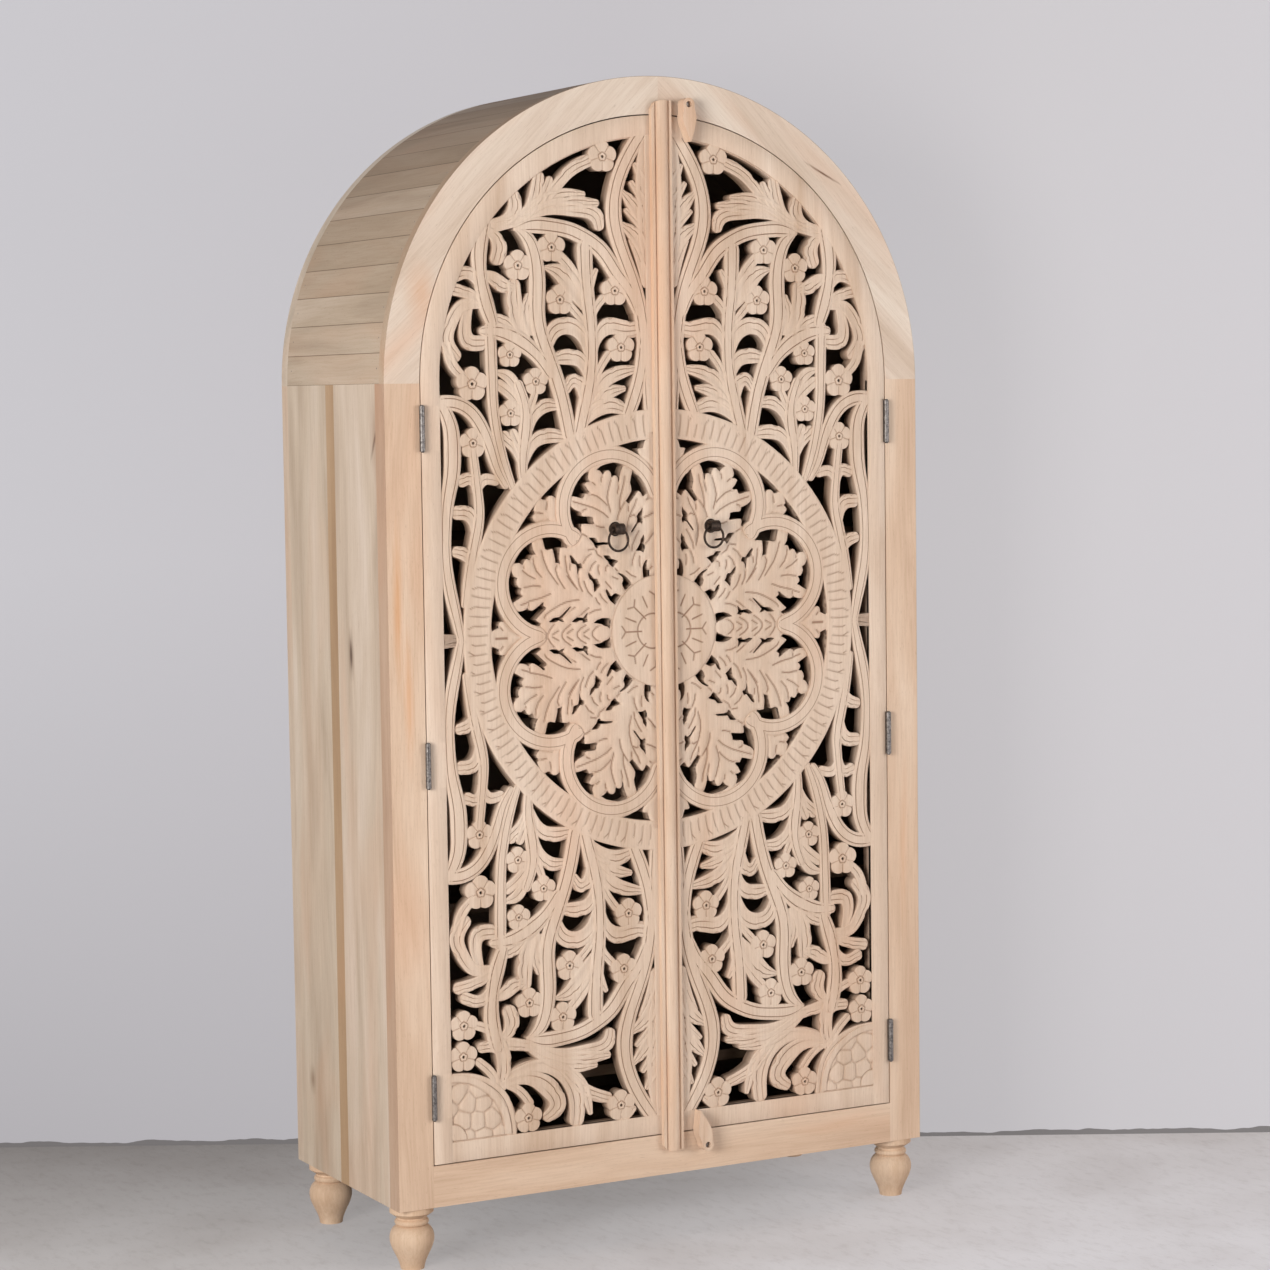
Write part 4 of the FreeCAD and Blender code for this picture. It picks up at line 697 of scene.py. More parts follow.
lobePoints = (
    ((20, 1850, 16), (26, 1800, 26), (26, 1740, 34), (24, 1680, 30), (22, 1600, 22)),
    ((28, 1765, 18), (43, 1792, 8)),
    ((30, 1735, 16), (49, 1762, 9)),
    ((30, 1700, 18), (50, 1730, 22), (66, 1746, 10)),
    ((32, 1690, 14), (60, 1717, 8)),
    ((26, 1645, 20), (48, 1680, 24), (66, 1692, 12)),
    ((26, 1600, 16), (38, 1640, 14), (52, 1668, 8)),
    ((222, 1718, 14), (190, 1752, 18), (165, 1778, 20), (118, 1800, 18)),
    ((262, 1696, 16), (215, 1728, 22), (170, 1741, 20), (140, 1742, 10)),
    ((262, 1694, 14), (200, 1722, 20), (150, 1728, 22), (116, 1728, 12)),
    ((262, 1698, 12), (195, 1718, 20), (148, 1717, 24), (114, 1704, 24), (111, 1692, 18)),
    ((318, 1684, 22), (285, 1692, 20), (240, 1700, 16)),
    ((146, 1590, 16), (166, 1622, 18), (188, 1645, 16)),
    ((142, 1560, 14), (166, 1597, 32), (192, 1618, 22), (209, 1622, 8)),
    ((138, 1530, 12), (166, 1560, 14)),
    ((133, 1480, 16), (146, 1514, 24), (172, 1528, 28), (198, 1518, 26), (207, 1496, 18)),
    ((133, 1440, 16), (150, 1472, 24), (175, 1477, 25), (196, 1474, 16)),
    ((140, 1395, 18), (146, 1428, 24), (162, 1438, 22), (174, 1424, 14)),
    ((136, 1570, 16), (128, 1600, 16), (118, 1618, 8)),
    ((129, 1520, 12), (122, 1553, 13), (106, 1572, 14)),
    ((126, 1470, 14), (117, 1508, 18), (97, 1527, 28), (70, 1524, 26), (36, 1526, 18)),
    ((126, 1425, 12), (113, 1458, 13), (97, 1480, 14)),
    ((127, 1400, 14), (104, 1438, 24), (76, 1451, 22), (48, 1456, 12)),
    ((127, 1395, 14), (98, 1418, 22), (70, 1424, 10)),
    ((146, 1368, 14), (120, 1390, 24), (92, 1397, 26), (70, 1390, 18)),
    ((236, 1520, 16), (246, 1550, 20), (240, 1574, 14)),
    ((250, 1512, 20), (265, 1550, 28), (268, 1592, 24)),
    ((262, 1510, 16), (286, 1534, 20), (306, 1540, 16)),
    ((328, 1592, 14), (346, 1612, 20), (374, 1606, 20)),
    ((324, 1568, 14), (350, 1580, 18), (386, 1588, 20)),
    ((326, 1562, 14), (358, 1560, 20), (379, 1535, 22), (389, 1505, 26), (374, 1480, 22)),
    ((345, 1562, 10), (355, 1530, 20), (350, 1503, 26), (328, 1500, 24), (311, 1500, 16)),
    ((388, 1495, 16), (377, 1463, 17), (358, 1444, 14)),
    ((324, 1684, 10), (303, 1674, 18), (292, 1655, 26), (296, 1637, 24)),
    ((324, 1610, 12), (308, 1606, 20), (289, 1594, 24), (272, 1590, 14)),
    ((255, 1395, 12), (266, 1428, 18), (284, 1448, 18), (297, 1452, 10)),
    ((254, 1385, 12), (272, 1413, 18), (296, 1432, 18)),
    ((258, 1300, 10), (270, 1330, 18), (288, 1347, 22)),
    ((256, 1310, 10), (266, 1340, 16), (272, 1354, 14)),
    ((250, 1372, 12), (240, 1398, 14), (233, 1415, 12)),
    ((247, 1350, 14), (236, 1380, 18), (213, 1398, 22), (192, 1397, 14)),
    ((254, 1305, 14), (230, 1343, 22), (206, 1349, 24), (180, 1346, 16)),
    ((340, 1262, 14), (350, 1282, 20), (364, 1279, 20)),
    ((338, 1262, 12), (326, 1280, 18), (306, 1278, 16)),
    ((342, 1190, 16), (356, 1226, 24), (374, 1228, 22)),
    ((346, 1140, 16), (360, 1160, 22), (376, 1165, 18)),
    ((410, 1022, 24), (372, 1022, 18)),
)
archLobePoints = (
    ((306, 1692, 14), (274, 1702, 20), (263, 1720, 24), (267, 1742, 18)),
    ((270, 1696, 16), (240, 1712, 20), (225, 1740, 24), (220, 1768, 20)),
    ((232, 1712, 14), (212, 1738, 16), (200, 1764, 12)),
)
cornerLobePoints = (
    ((412, 309, 14), (375, 306, 16), (338, 292, 18), (308, 262, 18), (295, 200, 16)),
    ((322, 372, 22), (308, 330, 26), (313, 288, 22)),
    ((306, 330, 14), (322, 352, 20), (346, 354, 18)),
    ((316, 284, 12), (333, 312, 15), (352, 330, 14)),
    ((308, 350, 14), (328, 378, 16), (358, 392, 14)),
    ((316, 286, 12), (262, 293, 22), (222, 268, 32), (212, 240, 30), (228, 226, 20)),
    ((300, 300, 14), (240, 312, 22), (195, 290, 28), (175, 250, 30), (176, 214, 26)),
    ((305, 288, 12), (280, 274, 14), (262, 252, 14)),
    ((192, 300, 16), (164, 272, 16), (154, 240, 14), (150, 222, 8)),
    ((92, 206, 16), (80, 212, 16), (70, 219, 12)),
)
flowerPlaces = ((199, 1655, 25), (260, 1625, 25), (84, 1585, 25), (185, 1570, 25), (74, 1492, 25),
                (277, 1481, 21), (231, 1437, 22), (345, 1434, 28), (277, 1386, 22), (345, 1339, 24))
upperFlowerPlaces = ((104, 1804, 26),)
lowerFlowerPlaces = ((379, 393, 25), (381, 342, 25), (265, 227, 25), (93, 228, 26))


def strokeArrays(groups, turned=False):
    # Strokes as arrays; turned ones lie as far below the ring's middle as they were above it
    made = [np.array(points, dtype=float) for points in groups]
    if turned:
        for points in made:
            points[:, 1] = 2 * cabinet["middleShares"] - points[:, 1]
    return made


# Ring, loops and leaves inside it

def nearSegments(places, segments):
    # Distance from each place to the nearest of the straight segments, by the foot point held to the segment
    start, end = segments[:, 0], segments[:, 1]
    way = end - start
    long = np.maximum((way ** 2).sum(axis=1), 1e-9)
    best = np.full(len(places), 1e9)
    foot = np.zeros_like(places)
    for block in np.array_split(np.arange(len(places)), len(places) // 3000 + 1):
        away = places[block][:, None, :] - start[None]
        share = np.clip((away * way[None]).sum(axis=2) / long, 0, 1)
        off = away - share[..., None] * way[None]
        far = (off ** 2).sum(axis=2)
        nearest = far.argmin(axis=1)
        row = np.arange(len(block))
        best[block] = np.sqrt(far[row, nearest])
        foot[block] = places[block] - off[row, nearest]
    return best, foot


def segmentsOf(lines):
    # Each line as its straight pieces, start and end
    return np.concatenate([np.stack([line[:-1], line[1:]], axis=1) for line in lines])


def bothHalves(lines):
    # The lines above the ring's middle and the same below it
    return lines + [line * (1, -1) for line in lines]


ringCut = {"inner": 319.0, "outer": 368.0, "level": 0.1, "bottom": 9.0, "ticks": 69, "scallop": 0.5,
           "tickDepth": 1.2, "edgeDrop": 1.3, "perTick": 8, "uneven": 0.12, "hook": 0.34, "start": 0.12,
           "stop": 0.84, "lineShare": 0.12}


def carvedRing(cut=ringCut):
    # Half a flat ring: across is radius times the cosine, up is radius times the sine. Its top is cut into
    # ticks, each a sharp line that bends a little towards its outer end, with a gentle scallop behind it
    edge = math.acos(cabinet["meetingEdge"] / cut["inner"])
    turn = np.linspace(-edge, edge, cut["ticks"] * cut["perTick"] + 1)
    shares = np.array([0, 0.02, 0.05, 0.1, 0.15, 0.22, 0.3, 0.4, 0.5,
                       0.6, 0.68, 0.74, 0.8, 0.85, 0.9, 0.95, 0.98, 1.0])
    share, angle = np.meshgrid(shares, turn, indexing="ij")
    radius = cut["inner"] + (cut["outer"] - cut["inner"]) * share
    number = angle / (2 * edge) * cut["ticks"] + 0.5
    chance = np.random.default_rng(11).uniform(-cut["uneven"], cut["uneven"], cut["ticks"] + 2)
    hook = (np.floor(number).astype(int) % 2) * cut["hook"] * np.clip((share - 0.6) / 0.2, 0, 1) ** 1.5
    phase = (number + hook * np.sign(angle) + 0.1 * np.sin(np.pi * share)) % 1.0
    start = cut["start"] + chance[np.floor(number).astype(int) % cut["ticks"]] * 0.4
    window = np.clip((share - start) / 0.05, 0, 1) * np.clip((cut["stop"] + start / 3 - share) / 0.06, 0, 1)
    line = np.clip(1 - np.minimum(phase, 1 - phase) / cut["lineShare"], 0, 1)
    depth = (cut["level"] + cut["scallop"] * window * (1 - phase) + cut["tickDepth"] * line * window
             + cut["edgeDrop"] * (np.abs(2 * share - 1) ** 24))
    marks = line * window * 0.9
    places = np.stack([radius * np.cos(angle), cabinet["doorMiddle"] + radius * np.sin(angle), depth], axis=-1)
    return patchSolid(places, marks, cut["bottom"])


rosetteCut = {"middle": 4.0, "radius": 94.0, "level": 0.1, "bottom": 9.0, "seed": (21.0, 29.0), "forks": (0, 43, 86),
              "dashes": (21.5, 64.5), "forkFrom": 30.0, "forkTo": 60.0, "arm": 12.0, "dashFrom": 44.0, "dashTo": 64.0,
              "lineDepth": 1.2, "lineHalf": 1.7, "valleyDepth": 0.6, "valleyHalf": 6.0, "seedDrop": 0.5,
              "rimDrop": 1.6}


def rosetteLines(cut=rosetteCut):
    # Forked lines and short dashes, fanned about a place between both middles, and the seed's round edge
    lines = []
    heart = np.array([(cut["middle"] + cut["seed"][0]) / 2, 0.0])
    for degrees in cut["forks"]:
        way = np.array([math.cos(math.radians(degrees)), math.sin(math.radians(degrees))])
        fork = heart + way * cut["forkTo"]
        lines.append(np.array([heart + way * cut["forkFrom"], fork]))
        for bend in (-55, 55):
            arm = math.radians(degrees + bend)
            lines.append(np.array([fork, fork + cut["arm"] * np.array([math.cos(arm), math.sin(arm)])]))
    for degrees in cut["dashes"]:
        way = np.array([math.cos(math.radians(degrees)), math.sin(math.radians(degrees))])
        lines.append(np.array([heart + way * cut["dashFrom"], heart + way * cut["dashTo"]]))
    turn = np.linspace(0, math.radians(120), 24)
    lines.append(np.stack([cut["seed"][0] + cut["seed"][1] * np.cos(turn), cut["seed"][1] * np.sin(turn)], axis=1))
    return bothHalves(lines)


def carvedRosette(cut=rosetteCut):
    # A disc with its top cut by lines: depth grows near a line, and the petals sink a little towards it
    shares = np.linspace(0.02, 1.0, 54)
    turn = np.linspace(-math.radians(94), math.radians(94), 170)
    share, angle = np.meshgrid(shares, turn, indexing="ij")
    across = np.maximum(cut["middle"] + cut["radius"] * share * np.cos(angle), cabinet["meetingEdge"])
    up = cut["radius"] * share * np.sin(angle)
    flat = np.stack([across.ravel(), up.ravel()], axis=1)
    far = nearSegments(flat, segmentsOf(rosetteLines()))[0].reshape(share.shape)
    seed = np.hypot(across - cut["seed"][0], up) < cut["seed"][1]
    depth = (cut["level"] + cut["lineDepth"] * np.clip(1 - far / cut["lineHalf"], 0, 1)
             + cut["valleyDepth"] * np.exp(-(far / cut["valleyHalf"]) ** 2) * (share < 0.9)
             + cut["seedDrop"] * seed + cut["rimDrop"] * share ** 30)
    marks = np.maximum(np.clip(1.25 - far / 1.5, 0, 1), 0.35 * (share > 0.99))
    places = np.stack([across, cabinet["doorMiddle"] + up, depth], axis=-1)
    return patchSolid(places, marks, cut["bottom"])


loopCut = {"centres": ((97.5, 206.6), (211, 87)), "radius": 88.0, "width": 25.5, "opening": 98.0}


def loopStrokes(cut=loopCut):
    # Each loop runs round its centre, open towards the ring's middle
    made = []
    for across, up in cut["centres"]:
        axis = math.atan2(up, across)
        for sign in (1, -1):
            turn = axis + np.radians(np.linspace(-cut["opening"], cut["opening"], 15))
            places = np.stack([across + cut["radius"] * np.cos(turn), up + cut["radius"] * np.sin(turn)], axis=1)
            points = np.column_stack([places[:, 0], cabinet["middleShares"] + sign * places[:, 1],
                                      np.full(len(turn), cut["width"])])
            made.append(points)
    return made


# Cut lines of the leaves and buds inside the ring, above its middle: across, and up from the middle
veinLines = (
    ((70, 258), (71, 248), (74, 238), (78, 225), (80, 213), (80, 201), (84, 191), (86, 178)),
    ((95, 254), (98, 245), (101, 234), (103, 224), (102, 217), (97, 200)),
    ((81, 246), (82, 238), (84, 230)), ((111, 261), (113.5, 255), (114, 250)), ((134, 250), (129, 248.5), (125, 245)),
    ((137, 230), (130, 229), (122, 226.5), (114, 221), (107, 215), (103, 210.5)),
    ((166, 218.5), (160, 217), (150, 214), (140, 211), (130, 208), (121, 204), (110, 198), (102, 191)),
    ((142, 206), (147, 204), (149.5, 201)), ((63, 211), (64, 206), (64, 200)), ((70, 215), (74, 210), (79, 202)),
    ((48, 220), (52, 209), (57, 201), (61, 193), (64, 186), (66, 177), (68, 168), (67, 155), (63, 140)),
    ((48, 190), (54, 194), (60, 191)), ((110, 175), (116, 175.5), (122, 177), (128, 180)),
    ((51, 133), (54, 127), (57.4, 118), (58.4, 110)),
    ((44.7, 167), (50, 159), (54, 150.5), (57.4, 144), (58.4, 134)), ((20.5, 107.4), (25.8, 102)),
    ((43.7, 125), (44.5, 118), (43.7, 108)), ((51, 90.5), (59.5, 93.7), (69, 101)),
    ((18, 196), (26, 192), (35, 189)), ((18, 162), (26, 152), (33, 145)), ((18, 232), (24, 222), (30, 218)),
    ((83.7, 100), (90, 106.3)), ((101.6, 112.5), (106.8, 109.5), (107.9, 103)),
    ((120.5, 112.6), (121.6, 106.3), (119.5, 98)), ((84.7, 88.4), (90, 90.5), (95, 92.6)),
    ((97.4, 73), (99.5, 75.5), (104.7, 81), (108, 85)), ((128, 140), (134, 139), (140, 138)),
    ((112, 124), (122, 130), (126, 139)), ((126, 119), (133, 113), (137, 104)), ((134, 132), (143, 126), (149, 117)),
    ((139, 159), (146, 163.5), (154, 166), (163, 165), (171, 160), (177, 152)),
    ((182, 130), (181, 120), (178.8, 103.8), (173.8, 93.8), (166, 82.5), (160, 74)),
    ((196, 118), (200, 108.8), (196, 96), (191, 87.5), (184, 77)), ((172.5, 117), (173.8, 107.5)),
    ((225, 140), (221, 125), (214, 108), (205, 96), (196, 84)), ((241, 131), (239, 118), (235, 107.5), (226, 97.5)),
    ((260, 108.8), (250, 101), (238, 95)), ((258.8, 118), (257.5, 113)),
    ((257, 81.5), (250, 82), (241, 83.8), (228, 82)),
    ((264, 53), (256, 55), (247, 59), (236, 61), (224, 64), (210, 69)), ((249.5, 55), (250, 47)),
    ((222, 30), (219, 35), (212, 40), (203, 45), (193, 50), (182, 54), (171, 56), (158, 57)),
    ((118.4, 65.3), (115.3, 59), (110, 53.7), (106, 50)), ((126.8, 59), (123.7, 52.6), (119, 48)),
    ((148, 87.4), (144.7, 78), (140.5, 69.5), (133, 62)), ((158.2, 95), (157.4, 88.4), (156.3, 81), (151, 71)),
    ((178.4, 96.8), (170, 85.3), (163.7, 78)), ((139, 34), (130, 38), (118, 40)), ((158, 29), (150, 36), (140, 43)),
    ((186, 31), (175, 40), (165, 45)), ((213, 222), (214, 214), (215, 207)), ((234.5, 202), (228, 202), (222, 200.5)),
    ((233.5, 186.5), (222, 188), (212, 190)), ((303, 20), (297, 13)), ((289, 0.4), (310, 0.4)),
    ((289, 23), (280, 14), (270, 8)), ((231, 16), (231.5, 8), (231.5, 0)), ((118, 15), (127, 10), (133, 4), (134, 0)),
    ((146, 15), (155, 10), (161, 4), (162, 0)), ((174, 17), (184, 10), (189, 4), (190, 0)),
    ((203, 20), (211, 11), (215, 4), (216, 0)), ((196, 8), (207, 2)), ((140, 8), (150, 2)), ((170, 9), (180, 3)),
)
insideCut = {"lineHalf": 1.6, "lineDepth": 0.9, "valley": 5.0, "valleyDepth": 1.7, "level": 0.7, "bottom": 9.0,
             "step": 2.0, "reach": 321.0, "edgeRound": 5.5, "edgeDrop": 2.0, "sunk": 3.4, "deepest": 4.0,
             "beside": 3.2, "besideDepth": 2.0, "hidden": -1.5}


def leafLines():
    # The cut lines as arrays, on both sides of the ring's middle
    return bothHalves([np.array(line, dtype=float) for line in veinLines])


def doorOutline(node, cut=insideCut):
    # Rim of every gap of the pierced door: edges of its front's triangles that no second triangle shares
    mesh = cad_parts[node].data
    mesh.calc_loop_triangles()
    places = np.empty(len(mesh.vertices) * 3, dtype=np.float32)
    mesh.vertices.foreach_get("co", places)
    places = np.round(places.reshape(-1, 3).astype(float) * 1e6).astype(np.int64)
    corners = np.empty(len(mesh.loop_triangles) * 3, dtype=np.int32)
    mesh.loop_triangles.foreach_get("vertices", corners)
    same, number = np.unique(places, axis=0, return_inverse=True)
    number = number.ravel()
    triangles = number[corners].reshape(-1, 3)
    front = (same[triangles][:, :, 1] <= same[:, 1].min() + 20).all(axis=1)
    triangles = triangles[front]
    edges = np.concatenate([triangles[:, (0, 1)], triangles[:, (1, 2)], triangles[:, (2, 0)]])
    keys = edges[:, 0] * len(same) + edges[:, 1]
    twins = edges[:, 1] * len(same) + edges[:, 0]
    rim = edges[~np.isin(keys, twins)]
    spots = np.stack([same[:, 0], same[:, 2]], axis=1) / 1000.0 - (0, cabinet["doorMiddle"])
    segments = spots[rim]
    reach = np.hypot(segments[..., 0], segments[..., 1]).min(axis=1)
    return segments[reach < cut["reach"] + 12]


def onWood(places, segments):
    # Even-odd rule: a place is in a gap when an odd number of rim edges lies to its right
    start, end = segments[:, 0], segments[:, 1]
    counts = np.zeros(len(places), dtype=int)
    rise = np.where(np.abs(end[:, 1] - start[:, 1]) < 1e-9, 1e-9, end[:, 1] - start[:, 1])
    for block in np.array_split(np.arange(len(places)), len(places) // 3000 + 1):
        x, z = places[block, 0][:, None], places[block, 1][:, None]
        crosses = (start[None, :, 1] > z) != (end[None, :, 1] > z)
        where = start[None, :, 0] + (z - start[None, :, 1]) / rise[None] * (end - start)[None, :, 0]
        counts[block] = (crosses & (where > x)).sum(axis=1)
    return counts % 2 == 0


def carvedLeaves(cut=insideCut):
    # The leaves and buds inside the ring as one ground on a square grid. Places near a gap's rim move onto
    # it, cells outside the wood fall away, and the top sinks at the cut lines and is rounded at the gaps.
    outline = doorOutline("door_right_panel")
    across = np.arange(cabinet["meetingEdge"], cut["reach"] + cut["step"], cut["step"])
    up = np.arange(-cut["reach"], cut["reach"] + cut["step"], cut["step"])
    x, z = np.meshgrid(across, up, indexing="ij")
    rows, columns = x.shape
    flat = np.stack([x.ravel(), z.ravel()], axis=1)
    far, foot = nearSegments(flat, outline)
    inDisc = np.hypot(flat[:, 0], flat[:, 1]) < cut["reach"]
    wood = onWood(flat, outline) & inDisc
    snapped = (far < cut["step"] * 0.55) & inDisc
    flat[snapped] = foot[snapped]
    good = (wood | snapped).reshape(rows, columns)
    number = np.arange(rows * columns).reshape(rows, columns)
    quad = np.stack([number[:-1, :-1], number[1:, :-1], number[1:, 1:], number[:-1, 1:]], axis=-1).reshape(-1, 4)
    fit = good.ravel()[quad]
    centre = flat[quad].mean(axis=1)
    middleIn = onWood(centre, outline)
    quads = quad[fit.all(axis=1) & middleIn]
    three = quad[(fit.sum(axis=1) == 3)]
    threeFit = good.ravel()[three]
    order = np.argsort(~threeFit, axis=1, kind="stable")[:, :3]
    order.sort(axis=1)
    triangles = np.take_along_axis(three, order, axis=1)
    triangles = triangles[onWood(flat[triangles].mean(axis=1), outline)]
    edges = np.concatenate([quads[:, (0, 1)], quads[:, (1, 2)], quads[:, (2, 3)], quads[:, (3, 0)],
                            triangles[:, (0, 1)], triangles[:, (1, 2)], triangles[:, (2, 0)]])
    total = rows * columns
    rim = edges[~np.isin(edges[:, 0] * total + edges[:, 1], edges[:, 1] * total + edges[:, 0])]
    loose = np.unique(rim)
    loose = loose[(far[loose] < cut["step"] * 1.5) & (np.abs(flat[loose, 0] - across[0]) > 0.01)]
    flat[loose] = foot[loose]
    edgeFar = far.copy()
    edgeFar[snapped] = 0
    edgeFar[loose] = 0
    line = nearSegments(flat, segmentsOf(leafLines()))[0]
    depth = (cut["level"] + cut["lineDepth"] * np.clip(1 - line / cut["lineHalf"], 0, 1)
             + cut["valleyDepth"] * np.exp(-(line / cut["valley"]) ** 2)
             + cut["edgeDrop"] * np.clip(1 - edgeFar / cut["edgeRound"], 0, 1) ** 2)
    # The ground sinks out of sight under the rosette and the straps, and dips beside their edges
    strap = bothHalves([stroke[:, :2] - (0, cabinet["middleShares"]) for stroke in loopStrokes()[::2]])
    besideStrap = nearSegments(flat, segmentsOf(strap))[0] - loopCut["width"] / 2
    besideRosette = np.hypot(flat[:, 0] - rosetteCut["middle"], flat[:, 1]) - rosetteCut["radius"]
    beside = np.minimum(besideStrap, besideRosette)
    depth = depth + cut["besideDepth"] * np.exp(-(np.maximum(beside, 0) / cut["beside"]) ** 2)
    depth = np.where(beside < cut["hidden"], cut["sunk"], np.minimum(depth, cut["deepest"]))
    marks = np.clip(1.3 - line / 1.4, 0, 1) * (edgeFar > 1.0)
    used = np.unique(np.concatenate([quads.ravel(), triangles.ravel()]))
    renumber = np.full(total, -1)
    renumber[used] = np.arange(len(used))
    quads, triangles, rim = renumber[quads], renumber[triangles], renumber[rim]
    top = np.column_stack([flat[used, 0], cabinet["doorMiddle"] + flat[used, 1], depth[used]])
    low = top.copy()
    low[:, 2] = cut["bottom"]
    count = len(used)
    walls = np.stack([rim[:, 1], rim[:, 0], rim[:, 0] + count, rim[:, 1] + count], axis=1)
    faces = (quads.tolist() + triangles.tolist() + (quads[:, ::-1] + count).tolist()
             + (triangles[:, ::-1] + count).tolist() + walls.tolist())
    # Painted shade: the lower face and the walls are marked as half in shade
    return np.concatenate([top, low]), np.concatenate([marks[used], np.full(count, 0.5)]), faces


cornerCut = {"centre": (404.0, 206.0), "radius": 107.0, "rim": 0.89, "cell": 31.0, "jitter": 7.0, "bottom": 9.0,
             "level": 0.1, "quarter": 27.0, "seamHalf": 4.6, "seamDepth": 1.6, "dome": 0.0055, "ringDepth": 1.3}


def carvedCorner(cut=cornerCut):
    # A quarter disc in the low corner, cut into pebbles: depth grows where the nearest and the second
    # nearest of a set of seeds are equally far
    x, z = gridPlace(np.float64(cut["centre"][0]), np.float64(cut["centre"][1]))
    shares = np.linspace(0.02, 1.0, 60)
    turn = np.linspace(math.pi / 2, math.pi, 84)
    share, angle = np.meshgrid(shares, turn, indexing="ij")
    across = cut["radius"] * share * np.cos(angle)
    up = cut["radius"] * share * np.sin(angle)
    chance = np.random.default_rng(7)
    steps = np.arange(-7, 2)
    column, row = np.meshgrid(steps, steps, indexing="ij")
    seeds = np.stack([(column + 0.5 * (row % 2)) * cut["cell"], -row * cut["cell"] * 0.87], axis=-1).reshape(-1, 2)
    seeds = seeds + chance.uniform(-cut["jitter"], cut["jitter"], seeds.shape)
    far = np.sqrt((across[..., None] - seeds[:, 0]) ** 2 + (up[..., None] - seeds[:, 1]) ** 2)
    far.sort(axis=-1)
    out = cut["radius"] * share
    inside = (share < cut["rim"]) & (out > cut["quarter"])
    seam = np.clip(1 - (far[..., 1] - far[..., 0]) / cut["seamHalf"], 0, 1) * inside
    rings = np.maximum(np.clip(1 - np.abs(share - cut["rim"]) / 0.016, 0, 1),
                       np.clip(1 - np.abs(out - cut["quarter"]) / 1.8, 0, 1))
    depth = (cut["level"] + cut["seamDepth"] * seam + cut["dome"] * far[..., 0] ** 2 * inside
             + cut["ringDepth"] * rings)
    marks = np.clip(seam * 0.45 + rings * 0.5, 0, 1)
    places = np.stack([x + across, z + up, depth], axis=-1)
    return patchSolid(places, marks, cut["bottom"])


frameCut = {"border": 33.0, "meeting": 26.0, "bottom": 9.0, "edge": 0.8, "hingeHeights": (285.0, 825.0, 1365.0),
            "hingeHalf": 36.3, "leafDepth": 2.0, "ringClear": 330.0, "stripTop": 1850.0}


def flatBand(left, right, width, level, cut=frameCut):
    # Flat band between two edges, softened along both
    soft, drop = cut["edge"] / width * 2, cut["edge"] * 0.7
    shares = np.array([-1, -1 + soft, 0, 1 - soft, 1])
    depths = np.tile(np.array([drop, 0, 0, 0, drop]) + level, (len(left), 1))
    return bandSolid(left, right, shares, depths, np.zeros_like(depths), cut["bottom"])


def borderSolid(cut=frameCut):
    # Flat band along the hinge side and round the arch: straight up to the spring line, then by the arch's
    # angle; it steps back at each hinge by the thickness of a leaf
    half, spring = cabinet["doorHalf"], cabinet["springHeight"]
    heights, backs = [cabinet["doorBottom"]], [0.0]
    for middle in cut["hingeHeights"]:
        low, high = middle - cut["hingeHalf"], middle + cut["hingeHalf"]
        heights += [low, low + 0.05, high - 0.05, high]
        backs += [0.0, cut["leafDepth"], cut["leafDepth"], 0.0]
    inner = half - cut["border"]
    left = [(inner, height) for height in heights]
    right = [(half - back, height) for height, back in zip(heights, backs)]
    turn = np.linspace(0, math.acos(cabinet["meetingEdge"] / inner), 72)
    left = np.array(left + list(zip(inner * np.cos(turn), spring + inner * np.sin(turn))))
    right = np.array(right + list(zip(half * np.cos(turn), spring + half * np.sin(turn))))
    return flatBand(left, right, cut["border"], 0.0)


def flatBar(start, end, width, level):
    # Flat bar between two places of the drawing in millimetres
    share = np.linspace(0, 1, 12)[:, None]
    middle = np.array(start) * (1 - share) + np.array(end) * share
    heading = np.array(end, dtype=float) - np.array(start, dtype=float)
    heading /= np.linalg.norm(heading)
    offset = np.array([-heading[1], heading[0]]) * width / 2
    return flatBand(middle + offset, middle - offset, width, level)


def padDisc(across, height, radius, bottom):
    # A plain disc under the ring pull: a flat top, a softened rim and a wall
    around = 48
    turn = np.linspace(0, 2 * math.pi, around, endpoint=False)
    share = np.array([[0.02], [0.95], [1.0], [1.0]])
    depth = np.array([[0.0], [0.0], [0.5], [bottom]]) * np.ones_like(turn)[None, :]
    places = np.stack([across + radius * share * np.sin(turn)[None, :],
                       height + radius * share * np.cos(turn)[None, :], depth], axis=-1)
    return places.reshape(-1, 3), np.zeros(len(share) * around), ringFaces(len(share), around)


pullPad = {"across": 90.0, "height": 1195.0, "radius": 15.0, "bottom": 9.0}
panelCut = {"ground": 3.2}


def groundPanel(name, node, body, proud):
    # The pierced panel behind the relief: a merged copy of the CAD door, its front moved back to the ground
    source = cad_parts[node]
    mesh = source.data.copy()
    mesh.name = name
    work = bmesh.new()
    work.from_mesh(mesh)
    bmesh.ops.remove_doubles(work, verts=work.verts, dist=1e-6)
    work.to_mesh(mesh)
    work.free()
    places = np.empty(len(mesh.vertices) * 3, dtype=np.float32)
    mesh.vertices.foreach_get("co", places)
    places = places.reshape(-1, 3)
    ground = cabinet["frontY"] + (panelCut["ground"] - proud) / 1000
    places[:, 1] = np.maximum(places[:, 1], ground)
    mesh.vertices.foreach_set("co", places.ravel())
    # The recessed ground gets a quarter share of the painted groove shade
    mark = mesh.attributes.new("cut", "FLOAT", "POINT")
    mark.data.foreach_set("value", np.full(len(mesh.vertices), 0.25, dtype=np.float32))
    mesh.update()
    mesh.materials.clear()
    mesh.materials.append(materials["carved"])
    piece = bpy.data.objects.new(name, mesh)
    bpy.context.scene.collection.objects.link(piece)
    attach(piece, body)
    return piece


